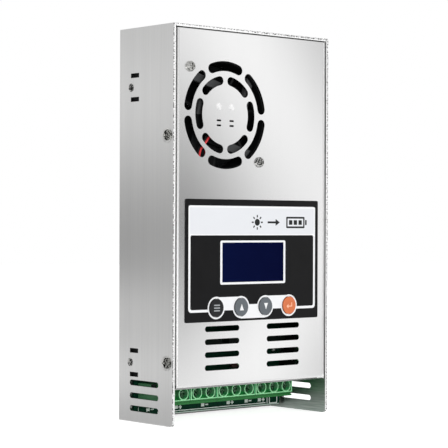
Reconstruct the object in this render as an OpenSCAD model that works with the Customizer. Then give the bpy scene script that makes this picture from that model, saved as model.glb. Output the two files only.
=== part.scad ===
// Wall-mounted charge controller in a folded aluminium case.
// Millimetres. X runs left to right, Y from the front to the back, Z up.
// Sizes are laid out from the case's front edges (y = 0) and its lower edges (z = 0), centred on x = 0;
// placed() then moves everything so that the origin is the centre of the part's footprint.

/* [Case] */
// Outer width of the case
case_w = 115; // [113:0.5:130]
// Outer height of the case
case_h = 215; // [208:1:250]
// Depth of the case, front edges to back face
case_d = 48; // [46.5:0.5:60]
// Thickness of the case sheet
sheet_t = 1.5; // [1.2:0.1:2]
// Inside radius of the case bends
bend_r = 0.6; // [0.4:0.1:1.2]
// Radius of the free lower corners of the side walls
corner_r = 2.5; // [1:0.1:3.5]
// Slit between the top wall and the side walls
seam = 0.25; // [0.15:0.05:0.4]

/* [Case mounting holes] */
// Distance of the side mounting holes from the back face
mount_back = 11.5; // [10:0.5:14]
// Height of the lower mounting holes
mount_z = 32.5; // [30:0.5:36]
// Distance between the lower and the upper mounting holes
mount_pitch = 150; // [130:1:155]
// Distance between the two columns of mounting holes in the back
mount_back_pitch = 75; // [60:1:80]
// Core hole radius of the mounting threads
mount_r = 1.65; // [1.6:0.05:2]
// Length of the drawn collar behind each mounting thread
collar_l = 1.2; // [0.6:0.1:1.6]
// Length of the hooking slots beside the side mounting holes
hook_l = 7.2; // [6:0.2:8]
// Height of the hooking slots
hook_h = 2.5; // [2:0.1:3.2]
// Height of each hooking slot above or below its mounting hole
hook_offset = 6.5; // [6:0.1:8]

/* [Vents] */
// Length of every vent slot
vent_l = 24.8; // [20:0.2:26]
// Height of every vent slot
vent_h = 3.1; // [2.4:0.1:3.6]
// Distance between neighbouring vent slots
vent_pitch = 7; // [6:0.1:7.5]
// Number of vent slots in each side wall
side_vents = 3; // [1:1:4]
// Height of the lowest side vent
side_vent_z = 7.5; // [6:0.1:9]
// Distance of the side vents' middle from the front edges
side_vent_y = 24.4; // [22:0.1:25]
// Number of rows of vent slots in the cover
cover_vents = 4; // [1:1:4]
// Height of the lowest cover vent
cover_vent_z = 30.3; // [27:0.1:31]
// Distance of each column of cover vents from the middle
cover_vent_x = 22.6; // [16:0.2:30]

/* [Front cover] */
// Thickness of the cover sheet
cover_t = 1.2; // [0.8:0.1:1.5]
// Gap between the cover and the case
cover_gap = 0.3; // [0.2:0.05:0.4]
// Height of the cover's lower edge
cover_z = 19.5; // [19:0.1:24]
// Depth of the cover's side flanges
flange_d = 10; // [8.5:0.5:14]
// Depth of the return along the cover's lower edge
lip_d = 5; // [3:0.5:8]
// Distance of the cover screws from the front edges
cover_screw_y = 5.2; // [4.8:0.1:5.6]
// Height of the lower cover screws
cover_screw_z = 33.8; // [30:0.2:40]
// Distance between the lower and the upper cover screws
cover_screw_pitch = 121.5; // [100:0.5:140]

/* [Fan] */
// Side of the square fan
fan_w = 60; // [58:0.5:61]
// Thickness of the fan
fan_d = 15; // [15:0.5:17]
// Distance of the fan's mounting holes from its sides
fan_hole_in = 5; // [4.5:0.1:5.5]
// Gap between the fan and the cover's left flange
fan_side_gap = 3.5; // [2.5:0.5:6.5]
// Distance of the fan's axis below the top of the case
fan_drop = 47.5; // [42:0.5:50]
// Number of fan blades
blades = 7; // [5:1:9]
// Gap between the blades and the fan's bore
blade_gap = 0.8; // [0.6:0.1:2.8]
// Radius of the rotor hub
hub_r = 13; // [12.5:0.1:14]
// Radius of the fan shaft
shaft_r = 1.5; // [1:0.05:1.6]
// Running clearance of the shaft and of the clamp screws
running_gap = 0.05; // [0.03:0.01:0.08]

/* [Fan grille] */
// Distance of the outer ring of slots inside the fan's outline
ring_in = 0.6; // [0:0.1:2]
// Width of the outer slots
ring_w = 5.4; // [4.5:0.1:5.6]
// Step from the outer ring of slots to the inner ring
ring_step = 8; // [7.4:0.1:9.4]
// Width of the inner slots
inner_ring_w = 4.9; // [4:0.1:5.2]
// Width of the bars between neighbouring slots
ring_bar = 2.8; // [2:0.1:4]
// Number of slots in each ring
ring_slots = 6; // [5:1:8]

/* [Control panel] */
// Width of the label overlay
label_w = 98.5; // [96:0.5:104]
// Height of the label overlay
label_h = 66.5; // [65:0.5:68]
// Height of the label's lower edge
label_z = 55.1; // [54.5:0.1:58]
// Thickness of the label overlay
label_t = 0.4; // [0.2:0.05:0.5]
// Width of the display window
window_w = 45.5; // [43:0.5:50]
// Height of the display window
window_h = 21.7; // [19:0.1:22.5]
// Height of the display's middle above the label's lower edge
window_up = 32.1; // [31:0.1:34]
// Width of the rim on which the display window rests
window_rim = 1; // [0.6:0.1:1.5]
// Sideways place of the display and the keys
panel_x = -0.4; // [-2:0.1:2]
// Distance between neighbouring keys
key_pitch = 18; // [15:0.1:19]
// Height of the keys above the label's lower edge
key_up_z = 7.5; // [7:0.1:8.5]
// Radius of a key
key_r = 4.9; // [4:0.05:5.4]
// Gap round a key
key_gap = 0.3; // [0.25:0.01:0.5]
// How far a key stands proud of the cover
key_proud = 1.1; // [1.05:0.05:1.4]
// How far a key can be pressed
key_travel = 0.3; // [0.2:0.05:0.35]
// Radius of a key's stem
stem_r = 1.7; // [1.3:0.05:2]
// Depth of the space between the cover and the display board
post_h = 7.4; // [7:0.1:9]

/* [Main board] */
// Thickness of both circuit boards
board_t = 1.6; // [1:0.1:2]
// Gap between the main board and the side walls
board_gap = 1.5; // [1:0.1:2.5]
// Height of the main board's lower edge
board_z = 2.2; // [1.5:0.1:4]
// Gap between the main board's upper edge and the top of the case
board_top_gap = 9; // [6:0.5:10]
// Height of the standoffs between the back wall and the board
standoff_h = 7.9; // [7:0.1:9]
// Distance of the standoffs from the board's side edges
standoff_in = 5; // [4.5:0.1:5.2]
// Thickness of the insulation sheet
film_t = 0.4; // [0.2:0.05:0.6]

/* [Terminals] */
// Distance between neighbouring poles
pole_pitch = 9.5; // [9.3:0.1:10]
// Gap between neighbouring terminal blocks
block_gap = 0.3; // [0.2:0.05:0.4]
// Sideways place of the middle of the terminal row
row_x = -1.1; // [-1.5:0.1:1.5]
// Height of a terminal block above the board
block_d = 19; // [18.6:0.1:21]
// Height of the terminal blocks' lower faces
block_z = 9.1; // [8.6:0.1:10]
// Height of the clamp screws
screw_z = 15; // [14.8:0.1:15.4]
// Height of the terminal blocks' upper faces
block_top_z = 20.6; // [20.4:0.1:22]
// Height of the lower front part of the terminal blocks
block_front_z = 18.7; // [18.6:0.1:19.4]
// Thickness of the cheek at the left end of the terminal row
row_cheek = 2.4; // [1:0.1:3]
// Radius of the screw wells
well_r = 2.9; // [2.85:0.05:3.1]
// Wall of the rings round the screw wells
well_wall = 0.6; // [0.5:0.05:0.7]
// Radius of a clamp screw's head
head_r = 2.6; // [2.4:0.05:2.7]
// Radius of a clamp screw's thread
thread_r = 1.75; // [1.5:0.05:1.9]
// Advance of a clamp screw in one turn
thread_lead = 0.7; // [0.5:0.05:0.7]
// Turns between an open and a closed clamp
clamp_turns = 5; // [3:1:5]

/* [Power parts] */
// Width of the heatsink
sink_w = 41; // [38:0.5:42]
// Length of the heatsink
sink_l = 60; // [60:1:64]
// Height of the heatsink above the board
sink_h = 18; // [17:0.1:19]
// Radius of the capacitors
cap_r = 8; // [6:0.1:8.5]
// Height of the capacitors
cap_h = 20; // [16:0.5:20]
// Distance between neighbouring capacitors
cap_pitch = 18; // [17.6:0.1:19]
// Gap between the capacitors and the board's right edge
cap_edge = 2; // [1:0.1:3]
// Outer radius of the inductor cores
core_r = 19; // [17:0.1:19.5]
// Inner radius of the inductor cores
core_hole_r = 9; // [9:0.1:10]
// Thickness of the inductor cores
core_d = 15; // [10:0.5:16]
// Thickness of the inductor wire
wire_t = 1.9; // [1.2:0.1:2]
// Turns on each inductor
core_turns = 18; // [8:1:18]

/* [Hidden] */
$fn = 48;
FRONT_NODES = ["chassis", "front_cover", "cover_screws", "label_overlay", "display_window", "lcd_bezel",
    "lcd_glass", "display_board", "display_posts", "tact_switches", "key_menu", "key_up", "key_down",
    "key_enter"];
FAN_NODES = ["fan_frame", "fan_rotor", "fan_shaft", "fan_bearing", "fan_stator", "fan_screws", "fan_nuts",
    "fan_lead", "fan_lead_black", "fan_plug"];
BOARD_NODES = ["main_board", "board_standoffs", "board_screws", "insulation_sheet", "terminal_housings",
    "terminal_contacts", "heatsink", "power_transistors", "inner_screws", "capacitors", "inductor_cores",
    "inductor_windings", "fuses", "controller_chip", "ribbon_cable", "ribbon_connectors"];
POLES = 10;

// Cutting tools reach this far past a face, and touching solids of one node overlap by the sliver
cut = 1;
sliver = 0.01;

// Case
inner_w = case_w - 2 * sheet_t;
bend_out = bend_r + sheet_t;
fan_z = case_h - fan_drop;
mount_y = case_d - mount_back;
mount_chamfer = 0.4;
collar_wall = 1;
hook_y = mount_y - hook_l / 2 + 0.3;

// Screw heads and the part's middle
truss_head_r = 3.9;
truss_head_h = 1.2;
pan_head_r = 2.85;
pan_head_h = 2;
m3_r = 1.5;
m3_hole_r = 1.7;
m3_fit_r = m3_r + running_gap;
recess_w = 0.9;
recess_d = 1;
mid_y = (case_d - pan_head_h) / 2;

// Cover
cover_w = inner_w - 2 * cover_gap;
cover_bend_r = 1.2;
cover_bend_out = cover_bend_r + cover_t;
cover_top = case_h - sheet_t - cover_gap;
lip_relief = 0.8;
emboss_x = 4.6;
emboss_z = 4.4;
emboss_r = 2;
emboss_h = 0.25;
lance_w = 3.2;
lance_h = 1;
lance_bar = 1.7;
slot_step = 0.04;

// Fan
fan_x = -(cover_w / 2 - cover_t) + fan_side_gap + fan_w / 2;
fan_pitch = fan_w - 2 * fan_hole_in;
ring_r = fan_w / 2 - ring_in;
inner_ring_r = ring_r - ring_step;
fan_corner_r = 4;
fan_hole_r = 2.15;
bore_wall = 1.2;
fan_bore_r = fan_w / 2 - bore_wall;
blade_r = fan_bore_r - blade_gap;
strut_off = 14.8;
strut_w = 4.6;
strut_turn = 15;
strut_sunk = 0.6;
strut_l = sqrt(pow(fan_bore_r, 2) - pow(strut_off - strut_w / 2, 2)) + strut_sunk;
strut_z = 2;
strut_t = 2.2;
base_r = 14;
base_z = 1.8;
base_t = 2;
tube_z = base_z + base_t;
rotor_z = 5.2;
rotor_end_z = fan_d - 0.4;
hub_wall = 1.2;
hub_end_t = 1.2;
blade_t = 1.1;
blade_tilt = 36;
blade_camber_r = 22;
bearing_wall = 1.4;
bearing_r = shaft_r + running_gap + bearing_wall;
tube_wall = 0.6;
tube_r = bearing_r + tube_wall;
tube_end_z = fan_d - 4.2;
end_gap = 0.4;
press_gap = 0.02;
shaft_boss_r = shaft_r + 1.5;
stator_r = hub_r - hub_wall - 2;
stator_pole_w = 6.4;
nut_h = 2.4;
nut_r = 3.1;
notch_w = 5.4;
notch_d = 2.2;
notch_x = -17.6;

// Fan lead: points from the fan's axis (sideways, up) and from the case's front edges (depth); those behind
// the fan start from its lower side
lead_r = 0.65;
lead_steps = 4;
lead_offset = [-1.25, 0, 0.6];
lead_y = 2.33;
lead_front = [[-8.4, lead_y, -10.6], [-9.6, lead_y, -12.1], [-11.9, lead_y, -15], [-14.4, lead_y, -17.4],
    [-15.9, lead_y, -20], [-16.5, lead_y, -22.7]];
lead_back = [[-16.8, lead_y, 1.5], [-17, lead_y + 0.1, -1], [-17.1, 5, -4], [-17.1, 9.5, -6], [-17.1, 14.5, -7.4],
    [-17.1, 19.5, -8.8], [-17, 25, -10.2]];
plug_x = -17.6;
plug_drop = 10.5;
plug_size = [8, 8, 6];
plug_z = -fan_w / 2 - plug_drop;

// Control panel
label_corner_r = 1;
window_z = label_z + window_up;
key_z = label_z + key_up_z;
key_xs = [for (i = [-1.5:1:1.5]) panel_x + i * key_pitch];
key_cap_t = 0.5;
key_edge = 0.2;
display_y = cover_t + post_h;
bezel_w = window_w + 10.5;
bezel_h = window_h + 6.3;
bezel_y = cover_t + 0.4;
bezel_t = 0.5;
glass_t = 1.8;
glass_gap = 0.2;
board_margin = 16.5;
display_board_w = bezel_w + 2 * board_margin;
display_board_low_z = key_z - 8;
display_board_top_z = window_z + bezel_h / 2 + 4.5;
post_in = 4;
post_r = 2.5;
post_thread_r = 1.25;
post_screw_l = 5;
post_screw_in = 0.4;
post_head_r = 2.2;
post_head_h = 1.6;
switch_w = 6;
switch_h = 3.6;
stem_end_y = display_y - 2.3;
switch_pit_y = display_y - 1.6;

// Main board
back_y = case_d - sheet_t;
board_back_y = back_y - standoff_h;
board_y = board_back_y - board_t;
board_w = inner_w - 2 * board_gap;
board_top_z = case_h - board_top_gap;
standoff_x = board_w / 2 - standoff_in;
standoff_low_z = 36;
standoff_mid_drop = 45.5;
standoff_mid_z = fan_z - standoff_mid_drop;
standoff_top_in = 4;
standoff_zs = [standoff_low_z, standoff_mid_z, board_top_z - standoff_top_in];
standoff_r = 3;
rivet_r = 2.1;
rivet_gap = 0.03;
film_inset = 2;
film_hole_gap = 0.6;
board_screw_head_r = 2.75;
board_screw_head_h = 2;
board_screw_l = 5;

// Terminal blocks: poles in each block, from the left
block_poles = [2, 2, 3, 3];
row_w = POLES * pole_pitch + (len(block_poles) - 1) * block_gap;
block_y = board_y - block_d;
channel_d = 3.6;
end_wall = 0.8;
ledge_up = 1.8;
ledge_t = 0.9;
groove_in = 1.2;
lower_lip_in = 0.4;
clamp_travel = thread_lead * clamp_turns;
head_in = 2.4;
head_h = 2.2;
box_gap = 0.4;
box_y = block_y + head_in + head_h + clamp_travel + box_gap;
box_front_t = 1.6;
plate_gap = 0.3;
plate_t = 1.4;
plate_y = box_y + box_front_t + plate_gap;
contact_t = 1;
floor_t = 2;
contact_y = board_y - floor_t - contact_t;
chamber_wall = 0.8;
block_step_y = box_y - chamber_wall;
box_w = 7.6;
box_wall = 0.8;
box_h = 9.4;
box_fit = 0.1;
neck_r = 1.2;
neck_l = 1;
pin_r = 0.8;
pin_fit = 0.05;
pin_tail = 1.2;

// Power parts
sink_side = 15;
sink_right_x = fan_x + sink_side;
sink_base_t = 5;
sink_fin_t = 1.4;
sink_fins = 4;
transistor_pitch = 12;
transistors = 5;
tab_w = 10;
tab_t = 1.3;
tab_head_r = 2.75;
tab_head_h = 1.9;
tab_drop = 0.5;
tab_l = 6.5;
tab_hole_down = 2.9;
transistor_body_t = 4.5;
transistor_body_l = 9;
leg_w = 0.8;
leg_t = 0.6;
leg_pitch = 2.54;
cap_x = board_w / 2 - cap_edge - cap_r - cap_pitch;
cap_rows = 3;
cap_groove = 0.5;
cap_groove_up = 3;
cap_groove_w = 1.5;
core_x = 27;
core_gap = 5;
wire_gap = 0.1;
core_z = fan_z + plug_z - plug_size[2] / 2 - core_gap - core_r - wire_gap - wire_t;
coil_d = core_d + 2 * (wire_gap + wire_t);
coil_arc = 300;
fuse_z = 43;
fuse_size = [19, 11, 5];
fuse_blade = [5, 3, 0.8];
fuse_pitch = 24;
fuse_count = 4;
chip_z = 62;
chip_w = 12;
chip_t = 1.6;
chip_legs = 8;
header_size = [11, 8, 6];
socket_size = [11, 5, 6];
socket_up = 11;
socket_z = window_z + socket_up;
ribbon_rise = 14;
header_z = socket_z + ribbon_rise;
ribbon_w = 7.6;
ribbon_t = 1;
ribbon_bend = 2.5;

// Moves a piece from the case's own layout to the part's origin
module placed() {
  translate([0, -mid_y, 0]) children();
}

// Plate of thickness t whose outline is drawn as seen from the front, starting at depth y
module front_plate(y, t) {
  translate([0, y + t, 0]) rotate([90, 0, 0]) linear_extrude(t) children();
}

// Round bar along Y from depth y
module rod_y(y, l, r) {
  translate([0, y, 0]) rotate([-90, 0, 0]) cylinder(h = l, r = r);
}

// Outline of a slot with round ends, l long and h high
module slot_outline(l, h) {
  square([l - h, h], center = true);
  for (side = [-1, 1]) {
    translate([side * (l - h) / 2, 0]) circle(d = h);
  }
}

// Outline of a rectangle with round corners
module round_rect(w, h, r) {
  square([w - 2 * r, h], center = true);
  square([w, h - 2 * r], center = true);
  for (x = [-1, 1], y = [-1, 1]) {
    translate([x * (w / 2 - r), y * (h / 2 - r)]) circle(r = r);
  }
}

// Outline of a folded sheet: an open-ended U, w wide and d deep, floor at y = 0, of thickness t
module u_outline(w, d, t, r_in) {
  r_out = r_in + t;
  difference() {
    union() {
      translate([-w / 2, r_out]) square([w, d - r_out]);
      translate([-w / 2 + r_out, 0]) square([w - 2 * r_out, d]);
      for (side = [-1, 1]) {
        translate([side * (w / 2 - r_out), r_out]) circle(r = r_out);
      }
    }
    translate([-w / 2 + t, r_out]) square([w - 2 * t, d]);
    translate([-w / 2 + r_out, t]) square([w - 2 * r_out, d]);
    for (side = [-1, 1]) {
      translate([side * (w / 2 - r_out), r_out]) circle(r = r_in);
    }
  }
}

// Outline of a folded corner of a sheet: one leg along X and one along Y from their outer corner at 0, 0
module l_outline(leg_x, leg_y, t, r_in) {
  r_out = r_in + t;
  difference() {
    union() {
      translate([r_out, 0]) square([leg_x - r_out, t]);
      translate([0, r_out]) square([t, leg_y - r_out]);
      intersection() {
        square(r_out);
        translate([r_out, r_out]) circle(r = r_out);
      }
    }
    translate([r_out, r_out]) circle(r = r_in);
  }
}

// Outline of one slot of a ring grille, centred on the +X direction
module arc_slot(r_out, w, bar, count) {
  r_mid = r_out - w / 2;
  half = 180 / count - asin((bar + w) / 2 / r_mid);
  reach = 2 * r_out;
  intersection() {
    difference() {
      circle(r = r_out);
      circle(r = r_out - w);
    }
    polygon([[0, 0], [reach * cos(half), -reach * sin(half)], [reach * cos(half), reach * sin(half)]]);
  }
  for (side = [-1, 1]) {
    rotate(side * half) translate([r_mid, 0]) circle(d = w - 2 * slot_step);
  }
}

// Cross recess cut into a screw head whose top is at z = 0
module cross_recess(r) {
  for (turn = [0, 90]) {
    rotate(turn) translate([-r * 0.6, -recess_w / 2, -recess_d]) cube([r * 1.2, recess_w, recess_d + cut]);
  }
}

// Screw with a low round head, head seat at z = 0, shank pointing down
module pan_screw(head_radius, head_height, shank_radius, shank_length) {
  edge = head_height * 0.35;
  shoulder = head_height * 0.75;
  difference() {
    union() {
      cylinder(h = edge, r = head_radius);
      translate([0, 0, edge]) cylinder(h = shoulder - edge, r1 = head_radius, r2 = head_radius * 0.84);
      translate([0, 0, shoulder]) cylinder(h = head_height - shoulder, r1 = head_radius * 0.84, r2 = head_radius * 0.6);
      translate([0, 0, -shank_length]) cylinder(h = shank_length + sliver, r = shank_radius);
    }
    translate([0, 0, head_height]) cross_recess(head_radius);
  }
}

// Children drawn upright at z = 0 are laid on the left and the right wall, facing outwards
module on_both_sides(x) {
  translate([-x, 0, 0]) rotate([0, -90, 0]) children();
  translate([x, 0, 0]) rotate([0, 90, 0]) children();
}

// Children drawn upright at z = 0 face the front, at depth y
module facing_front(y) {
  translate([0, y, 0]) rotate([90, 0, 0]) children();
}

// ---- Case ----

// Top corner and seam relief: the top wall is folded from the back wall between the side walls
module top_wall() {
  w = inner_w - 2 * seam;
  translate([-w / 2, case_d, case_h]) rotate([90, 0, 90]) rotate(180)
    linear_extrude(w) l_outline(case_d, 3 * bend_out, sheet_t, bend_r);
}

// One tapped mounting hole drawn as a cutter, its mouth at z = 0 and the hole running down
module mount_bore() {
  translate([0, 0, -sheet_t - collar_l - cut]) cylinder(h = sheet_t + collar_l + 2 * cut, r = mount_r);
  translate([0, 0, -mount_chamfer])
    cylinder(h = mount_chamfer + sliver, r1 = mount_r, r2 = mount_r + mount_chamfer + sliver);
}

module mount_collar() {
  translate([0, 0, -sheet_t - collar_l]) cylinder(h = collar_l + sliver, r = mount_r + collar_wall);
}

module side_slots(z, l, h) {
  translate([0, 0, z]) rotate([90, 0, 90]) linear_extrude(case_w + 2 * cut, center = true) slot_outline(l, h);
}

module chassis() color("#B4B7BA") placed() {
  mount_zs = [mount_z, mount_z + mount_pitch];
  difference() {
    union() {
      difference() {
        translate([0, case_d, 0]) mirror([0, 1, 0]) linear_extrude(case_h) u_outline(case_w, case_d, sheet_t, bend_r);
        // room for the folded top wall and its bend
        translate([-inner_w / 2, back_y - cut, case_h - bend_out]) cube([inner_w, sheet_t + 2 * cut, bend_out + cut]);
      }
      top_wall();
      for (z = mount_zs) {
        translate([0, mount_y, z]) on_both_sides(case_w / 2) mount_collar();
        for (side = [-1, 1]) {
          translate([side * mount_back_pitch / 2, case_d, z]) rotate([-90, 0, 0]) mount_collar();
        }
      }
    }
    for (z = mount_zs) {
      translate([0, mount_y, z]) on_both_sides(case_w / 2) mount_bore();
      for (side = [-1, 1]) {
        translate([side * mount_back_pitch / 2, case_d, z]) rotate([-90, 0, 0]) mount_bore();
      }
      for (dz = [-hook_offset, hook_offset]) {
        translate([-case_w / 2 - cut, hook_y - hook_l / 2, z + dz - hook_h / 2])
          cube([case_w + 2 * cut, hook_l, hook_h]);
      }
    }
    for (i = [0:side_vents - 1]) {
      translate([0, side_vent_y, 0]) side_slots(side_vent_z + i * vent_pitch, vent_l, vent_h);
    }
    // clearance holes of the cover screws
    for (z = [cover_screw_z, cover_screw_z + cover_screw_pitch]) {
      translate([-case_w / 2 - cut, cover_screw_y, z]) rotate([0, 90, 0])
        cylinder(h = case_w + 2 * cut, r = m3_hole_r);
    }
    // seats of the riveted standoffs
    for (side = [-1, 1], z = standoff_zs) {
      translate([side * standoff_x, 0, z]) rod_y(back_y - cut, sheet_t + 2 * cut, rivet_r + rivet_gap);
    }
    // free lower corners of the side walls
    translate([-case_w / 2 - cut, 0, 0]) difference() {
      translate([0, -cut, -cut]) cube([case_w + 2 * cut, corner_r + cut, corner_r + cut]);
      translate([-cut, corner_r, corner_r]) rotate([0, 90, 0]) cylinder(h = case_w + 4 * cut, r = corner_r);
    }
  }
}

module grille_cuts() {
  for (i = [0:ring_slots - 1]) {
    rotate(90 + i * 360 / ring_slots) arc_slot(ring_r, ring_w, ring_bar, ring_slots);
    rotate(90 + (i + 0.5) * 360 / ring_slots) arc_slot(inner_ring_r, inner_ring_w, ring_bar, ring_slots);
  }
  // pairs of short slits either side of a bridge
  for (x = [-1, 1], z = [-1, 1]) {
    translate([x * emboss_x, -emboss_z + z * (lance_bar + lance_h) / 2]) slot_outline(lance_w, lance_h);
  }
}

module front_cover() color("#E6E7E8") placed() {
  bend_z = cover_z + cover_bend_out;
  lip_w = cover_w - 2 * lip_relief;
  difference() {
    union() {
      translate([0, 0, bend_z]) linear_extrude(cover_top - bend_z)
        u_outline(cover_w, flange_d, cover_t, cover_bend_r);
      translate([-lip_w / 2, 0, cover_z]) rotate([90, 0, 90])
        linear_extrude(lip_w) l_outline(lip_d, cover_bend_out + sliver, cover_t, cover_bend_r);
      // two shallow bosses in the middle of the grille
      for (side = [-1, 1]) {
        translate([fan_x + side * emboss_x, sliver, fan_z + emboss_z]) rotate([90, 0, 0])
          cylinder(h = emboss_h + sliver, r1 = emboss_r, r2 = emboss_r * 0.5);
      }
    }
    front_plate(-cut, cover_t + 2 * cut) {
      translate([fan_x, fan_z]) grille_cuts();
      translate([panel_x, window_z]) square([window_w - 2 * window_rim, window_h - 2 * window_rim], center = true);
      for (side = [-1, 1], i = [0:cover_vents - 1]) {
        translate([side * cover_vent_x, cover_vent_z + i * vent_pitch]) slot_outline(vent_l, vent_h);
      }
    }
    for (side = [-1, 1]) {
      translate([fan_x + side * fan_pitch / 2, 0, fan_z - side * fan_pitch / 2])
        rod_y(-cut, cover_t + 2 * cut, m3_hole_r);
    }
    for (x = key_xs) {
      translate([x, 0, key_z]) rod_y(-cut, cover_t + 2 * cut, stem_r + 0.4);
    }
    // tapped holes of the cover screws
    for (z = [cover_screw_z, cover_screw_z + cover_screw_pitch]) {
      translate([-case_w / 2, cover_screw_y, z]) rotate([0, 90, 0]) cylinder(h = case_w, r = m3_fit_r);
    }
  }
}

module cover_screws() color("#C9CBCD") placed() {
  for (z = [cover_screw_z, cover_screw_z + cover_screw_pitch]) {
    translate([0, cover_screw_y, z]) on_both_sides(case_w / 2) pan_screw(truss_head_r, truss_head_h, m3_r, 6);
  }
}

// ---- Control panel ----

module label_overlay() color("#16171A") placed() {
  front_plate(-label_t, label_t) difference() {
    translate([0, label_z + label_h / 2]) round_rect(label_w, label_h, label_corner_r);
    translate([panel_x, window_z]) square([window_w + 0.1, window_h + 0.1], center = true);
    for (x = key_xs) {
      translate([x, key_z]) circle(r = key_r + key_gap);
    }
  }
}

module display_window() color("#0B1136") placed() {
  front_plate(-label_t, label_t) translate([panel_x, window_z]) square([window_w, window_h], center = true);
}

module lcd_bezel() color("#2A2C30") placed() translate([panel_x, 0, window_z]) {
  difference() {
    front_plate(bezel_y, display_y - bezel_y) square([bezel_w, bezel_h], center = true);
    front_plate(bezel_y + bezel_t, display_y) square([bezel_w - 2 * bezel_t, bezel_h - 2 * bezel_t], center = true);
    front_plate(bezel_y - cut, display_y) square([window_w - 1, window_h - 1], center = true);
  }
}

// Glass cell with its light guide behind it, down to the board
module lcd_glass() color("#101A4C") placed() translate([panel_x, 0, window_z]) {
  w = bezel_w - 2 * bezel_t - 2 * glass_gap;
  h = bezel_h - 2 * bezel_t - 2 * glass_gap;
  front_plate(bezel_y + bezel_t, glass_t) square([w, h], center = true);
  front_plate(bezel_y + bezel_t + glass_t, display_y - bezel_y - bezel_t - glass_t)
    square([w - 2, h - 2], center = true);
}

function post_places() = [for (side = [-1, 1], z = [display_board_low_z + post_in, display_board_top_z - post_in])
    [panel_x + side * (display_board_w / 2 - post_in), z]];

module display_board() color("#1F5A3C") placed() difference() {
  translate([panel_x, 0, 0]) front_plate(display_y, board_t)
    translate([-display_board_w / 2, display_board_low_z])
    square([display_board_w, display_board_top_z - display_board_low_z]);
  for (p = post_places()) {
    translate([p[0], 0, p[1]]) rod_y(display_y - cut, board_t + 2 * cut, post_thread_r + running_gap);
  }
}

module display_posts() color("#C8B27A") placed() {
  for (p = post_places()) {
    translate([p[0], 0, p[1]]) difference() {
      rod_y(cover_t, post_h, post_r);
      rod_y(display_y - post_screw_l, post_screw_l + cut, post_thread_r + running_gap);
    }
  }
}

module tact_switches() color("#2B2D30") placed() difference() {
  for (x = key_xs) {
    translate([x, 0, key_z]) front_plate(display_y - switch_h, switch_h) square(switch_w, center = true);
  }
  for (x = key_xs) {
    translate([x, 0, key_z]) rod_y(display_y - switch_h - cut, switch_pit_y - display_y + switch_h + cut,
      stem_r + running_gap);
  }
}

// Cap, and the long actuator that reaches through the cover into the switch
module key(i) placed() translate([key_xs[i], 0, key_z]) {
  rod_y(-key_proud + key_edge, key_cap_t - key_edge, key_r);
  translate([0, -key_proud, 0]) rotate([-90, 0, 0])
    cylinder(h = key_edge + sliver, r1 = key_r - key_edge, r2 = key_r);
  rod_y(-key_proud + key_cap_t - sliver, stem_end_y + key_proud - key_cap_t, stem_r);
}

module key_menu() color("#141518") key(0);
module key_up() color("#6B7074") key(1);
module key_down() color("#6B7074") key(2);
module key_enter() color("#E07E4C") key(3);

// ---- Fan ----

// Children drawn from z = 0 at the fan's front face, z running inwards
module in_fan() {
  placed() translate([fan_x, cover_t, fan_z]) rotate([-90, 0, 0]) children();
}

module fan_frame() color("#1A1B1D") in_fan() {
  difference() {
    linear_extrude(fan_d) round_rect(fan_w, fan_w, fan_corner_r);
    translate([0, 0, -cut]) cylinder(h = fan_d + 2 * cut, r = fan_bore_r, $fn = 96);
    for (x = [-1, 1], y = [-1, 1]) {
      translate([x * fan_pitch / 2, y * fan_pitch / 2, -cut]) cylinder(h = fan_d + 2 * cut, r = fan_hole_r);
    }
    // way out for the lead
    translate([notch_x - notch_w / 2, fan_bore_r / 2, -cut]) cube([notch_w, fan_w / 2, notch_d + cut]);
  }
  translate([0, 0, base_z]) cylinder(h = base_t, r = base_r);
  difference() {
    translate([0, 0, tube_z - sliver]) cylinder(h = tube_end_z - tube_z, r = tube_r);
    translate([0, 0, tube_z]) cylinder(h = fan_d, r = bearing_r);
  }
  // four bars lie along tangents of the motor base
  for (k = [0:3]) {
    rotate(strut_turn + k * 90) translate([-strut_l, -strut_off - strut_w / 2, strut_z])
      cube([strut_l + base_r / 2, strut_w, strut_t]);
  }
}

module fan_blade() {
  intersection() {
    difference() {
      translate([0, 0, rotor_z + end_gap]) cylinder(h = rotor_end_z - rotor_z - 2 * end_gap, r = blade_r);
      cylinder(h = fan_d, r = hub_r - hub_wall / 2);
    }
    translate([0, 0, (rotor_z + rotor_end_z) / 2]) rotate([blade_tilt, 0, 0])
      translate([hub_r - hub_wall, 0, -blade_camber_r]) rotate([0, 90, 0]) difference() {
        cylinder(h = blade_r, r = blade_camber_r);
        translate([0, 0, -cut]) cylinder(h = blade_r + 2 * cut, r = blade_camber_r - blade_t);
      }
    // keeps the near half of the bent sheet only
    translate([hub_r - hub_wall, -blade_r / 2, 0]) cube([blade_r, blade_r, fan_d]);
  }
}

module fan_rotor() color("#1E1F22") in_fan() {
  difference() {
    union() {
      difference() {
        translate([0, 0, rotor_z]) cylinder(h = rotor_end_z - rotor_z, r = hub_r);
        translate([0, 0, rotor_z - cut])
          cylinder(h = rotor_end_z - rotor_z - hub_end_t + cut, r = hub_r - hub_wall);
      }
      translate([0, 0, tube_end_z + end_gap]) cylinder(h = rotor_end_z - tube_end_z - 2 * end_gap, r = shaft_boss_r);
    }
    translate([0, 0, tube_z]) cylinder(h = rotor_end_z - hub_end_t / 2 - tube_z, r = shaft_r + press_gap);
  }
  for (k = [0:blades - 1]) {
    rotate(k * 360 / blades) fan_blade();
  }
}

module fan_shaft() color("#D5D8DB") in_fan() {
  translate([0, 0, tube_z + end_gap]) cylinder(h = rotor_end_z - hub_end_t / 2 - tube_z - end_gap, r = shaft_r);
}

module fan_bearing() color("#B08D4A") in_fan() difference() {
  translate([0, 0, tube_z]) cylinder(h = tube_end_z - tube_z - end_gap / 2, r = bearing_r - press_gap);
  translate([0, 0, tube_z - cut]) cylinder(h = fan_d, r = shaft_r + running_gap);
}

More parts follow.
